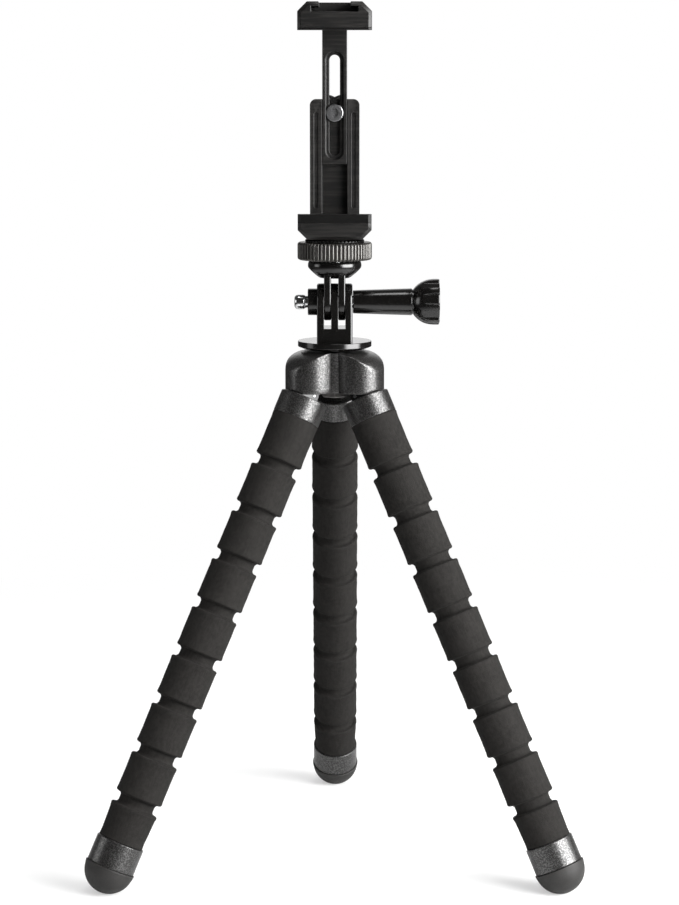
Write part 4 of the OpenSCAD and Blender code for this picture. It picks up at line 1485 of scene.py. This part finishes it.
def floor_material():
    """White floor with soft shadows: far off as white as the background, and dim where it is mirrored."""
    material = bpy.data.materials.new("floor")
    material.use_nodes = True
    n = Tree(material.node_tree)
    path = n.add("ShaderNodeLightPath").outputs
    seen = path["Is Camera Ray"]
    shader = n.tree.nodes["Principled BSDF"]
    looks = {"Base Color": FLOOR_TONE, "Roughness": 0.9, "Specular IOR Level": 0.1, "Emission Color": WHITE}
    looks["Emission Strength"] = n.math("MULTIPLY", seen, FLOOR_LIFT)
    for name, value in looks.items():
        n.feed(shader.inputs[name], value)
    spot = n.add("ShaderNodeNewGeometry").outputs["Position"]
    distance = n.add("ShaderNodeVectorMath", {0: spot}, operation="LENGTH").outputs["Value"]
    direct = n.math("MAXIMUM", seen, path["Is Glossy Ray"])
    far = n.math("MULTIPLY", n.ramp(distance, FLOOR_NEAR, FLOOR_FAR), direct)
    level = n.mix(seen, FLOOR_MIRRORED, 1.0, "FLOAT")
    bare = n.add("ShaderNodeEmission", {"Strength": level}).outputs["Emission"]
    surface = n.add("ShaderNodeMixShader", {"Fac": far, 1: shader.outputs["BSDF"], 2: bare})
    n.feed(n.tree.nodes["Material Output"].inputs["Surface"], surface.outputs["Shader"])
    return material


def area_light(name, spot, target, size, power):
    """A soft box at a spot, facing its target."""
    data = bpy.data.lights.new(name, "AREA")
    data.shape = "RECTANGLE"
    data.size, data.size_y = size
    data.energy = power
    light = bpy.data.objects.new(name, data)
    light.location = spot
    light.rotation_mode = "QUATERNION"
    light.rotation_quaternion = (Vector(target) - Vector(spot)).to_track_quat("-Z", "Y")
    light.visible_camera = False
    bpy.context.scene.collection.objects.link(light)
    soften_light(data)


def soften_light(data):
    """Lets a soft box fade towards its edges, as its cloth does."""
    data.use_nodes = True
    n = Tree(data.node_tree)
    place = n.add("ShaderNodeNewGeometry").outputs["Parametric"]
    axes = n.add("ShaderNodeSeparateXYZ", {"Vector": place}).outputs
    fades = []
    for axis in ("X", "Y"):
        inwards = n.math("PINGPONG", axes[axis], 0.5)
        fades.append(n.ramp(inwards, 0.0, LIGHT_FADE, interpolation_type="SMOOTHSTEP"))
    n.feed(n.tree.nodes["Emission"].inputs["Strength"], n.math("MULTIPLY", *fades))


def world_light():
    """White to the camera all round, even fill on dull faces, and a dim room in the mirrored ones."""
    world = bpy.data.worlds.new("studio")
    bpy.context.scene.world = world
    world.use_nodes = True
    n = Tree(world.node_tree)
    path = n.add("ShaderNodeLightPath").outputs
    place = n.add("ShaderNodeTexCoord").outputs["Generated"]
    axes = n.add("ShaderNodeSeparateXYZ", {"Vector": place}).outputs
    room = n.ramp(axes["Y"], *ROOM_TURN, MIRRORED_FRONT, MIRRORED_BACK)
    side = n.math("ABSOLUTE", axes["X"])
    band = n.ramp(axes["Y"], 0.0, HORIZON_BEHIND)
    band = n.math("MULTIPLY", band, n.ramp(axes["Z"], *HORIZON_EDGE))
    band = n.math("MULTIPLY", band, n.ramp(axes["Z"], *HORIZON_FADE, 1.0, 0.0))
    band = n.math("MULTIPLY", band, n.ramp(side, *HORIZON_SIDE, 1.0, 0.0))
    mirrored = n.mix(band, room, HORIZON_LEVEL, "FLOAT")
    around = n.mix(path["Is Glossy Ray"], AMBIENT, mirrored, "FLOAT")
    seen = n.math("MAXIMUM", path["Is Camera Ray"], path["Is Transmission Ray"])
    background = n.tree.nodes["Background"].inputs
    n.feed(background["Color"], WHITE)
    n.feed(background["Strength"], n.mix(seen, around, 1.0, "FLOAT"))


def main_camera():
    data = bpy.data.cameras.new("camera")
    data.sensor_fit = "VERTICAL"
    data.sensor_height = CAMERA_SENSOR
    data.sensor_width = CAMERA_SENSOR
    data.lens = CAMERA_LENS
    camera = bpy.data.objects.new("camera", data)
    camera.location = CAMERA_SPOT
    camera.rotation_euler = (math.pi / 2 - CAMERA_PITCH, 0, 0)
    bpy.context.scene.collection.objects.link(camera)
    bpy.context.scene.camera = camera


floor_mesh = new_object("floor", box_shape(FLOOR_LOW, FLOOR_HIGH))
floor_mesh.data.materials.append(floor_material())
area_light("key", spot=(0.64, -0.39, 0.37), target=(0, 0, 0.22), size=(0.95, 0.83), power=37)
area_light("rim", spot=(-0.8, -0.1, 0.3), target=(0, 0, 0.22), size=(0.45, 0.5), power=1.6)
area_light("top", spot=(0.1, -0.1, 1.3), target=(0, 0, 0.15), size=(0.7, 0.35), power=4)
world_light()
main_camera()
bpy.context.scene.view_settings.view_transform = "Standard"
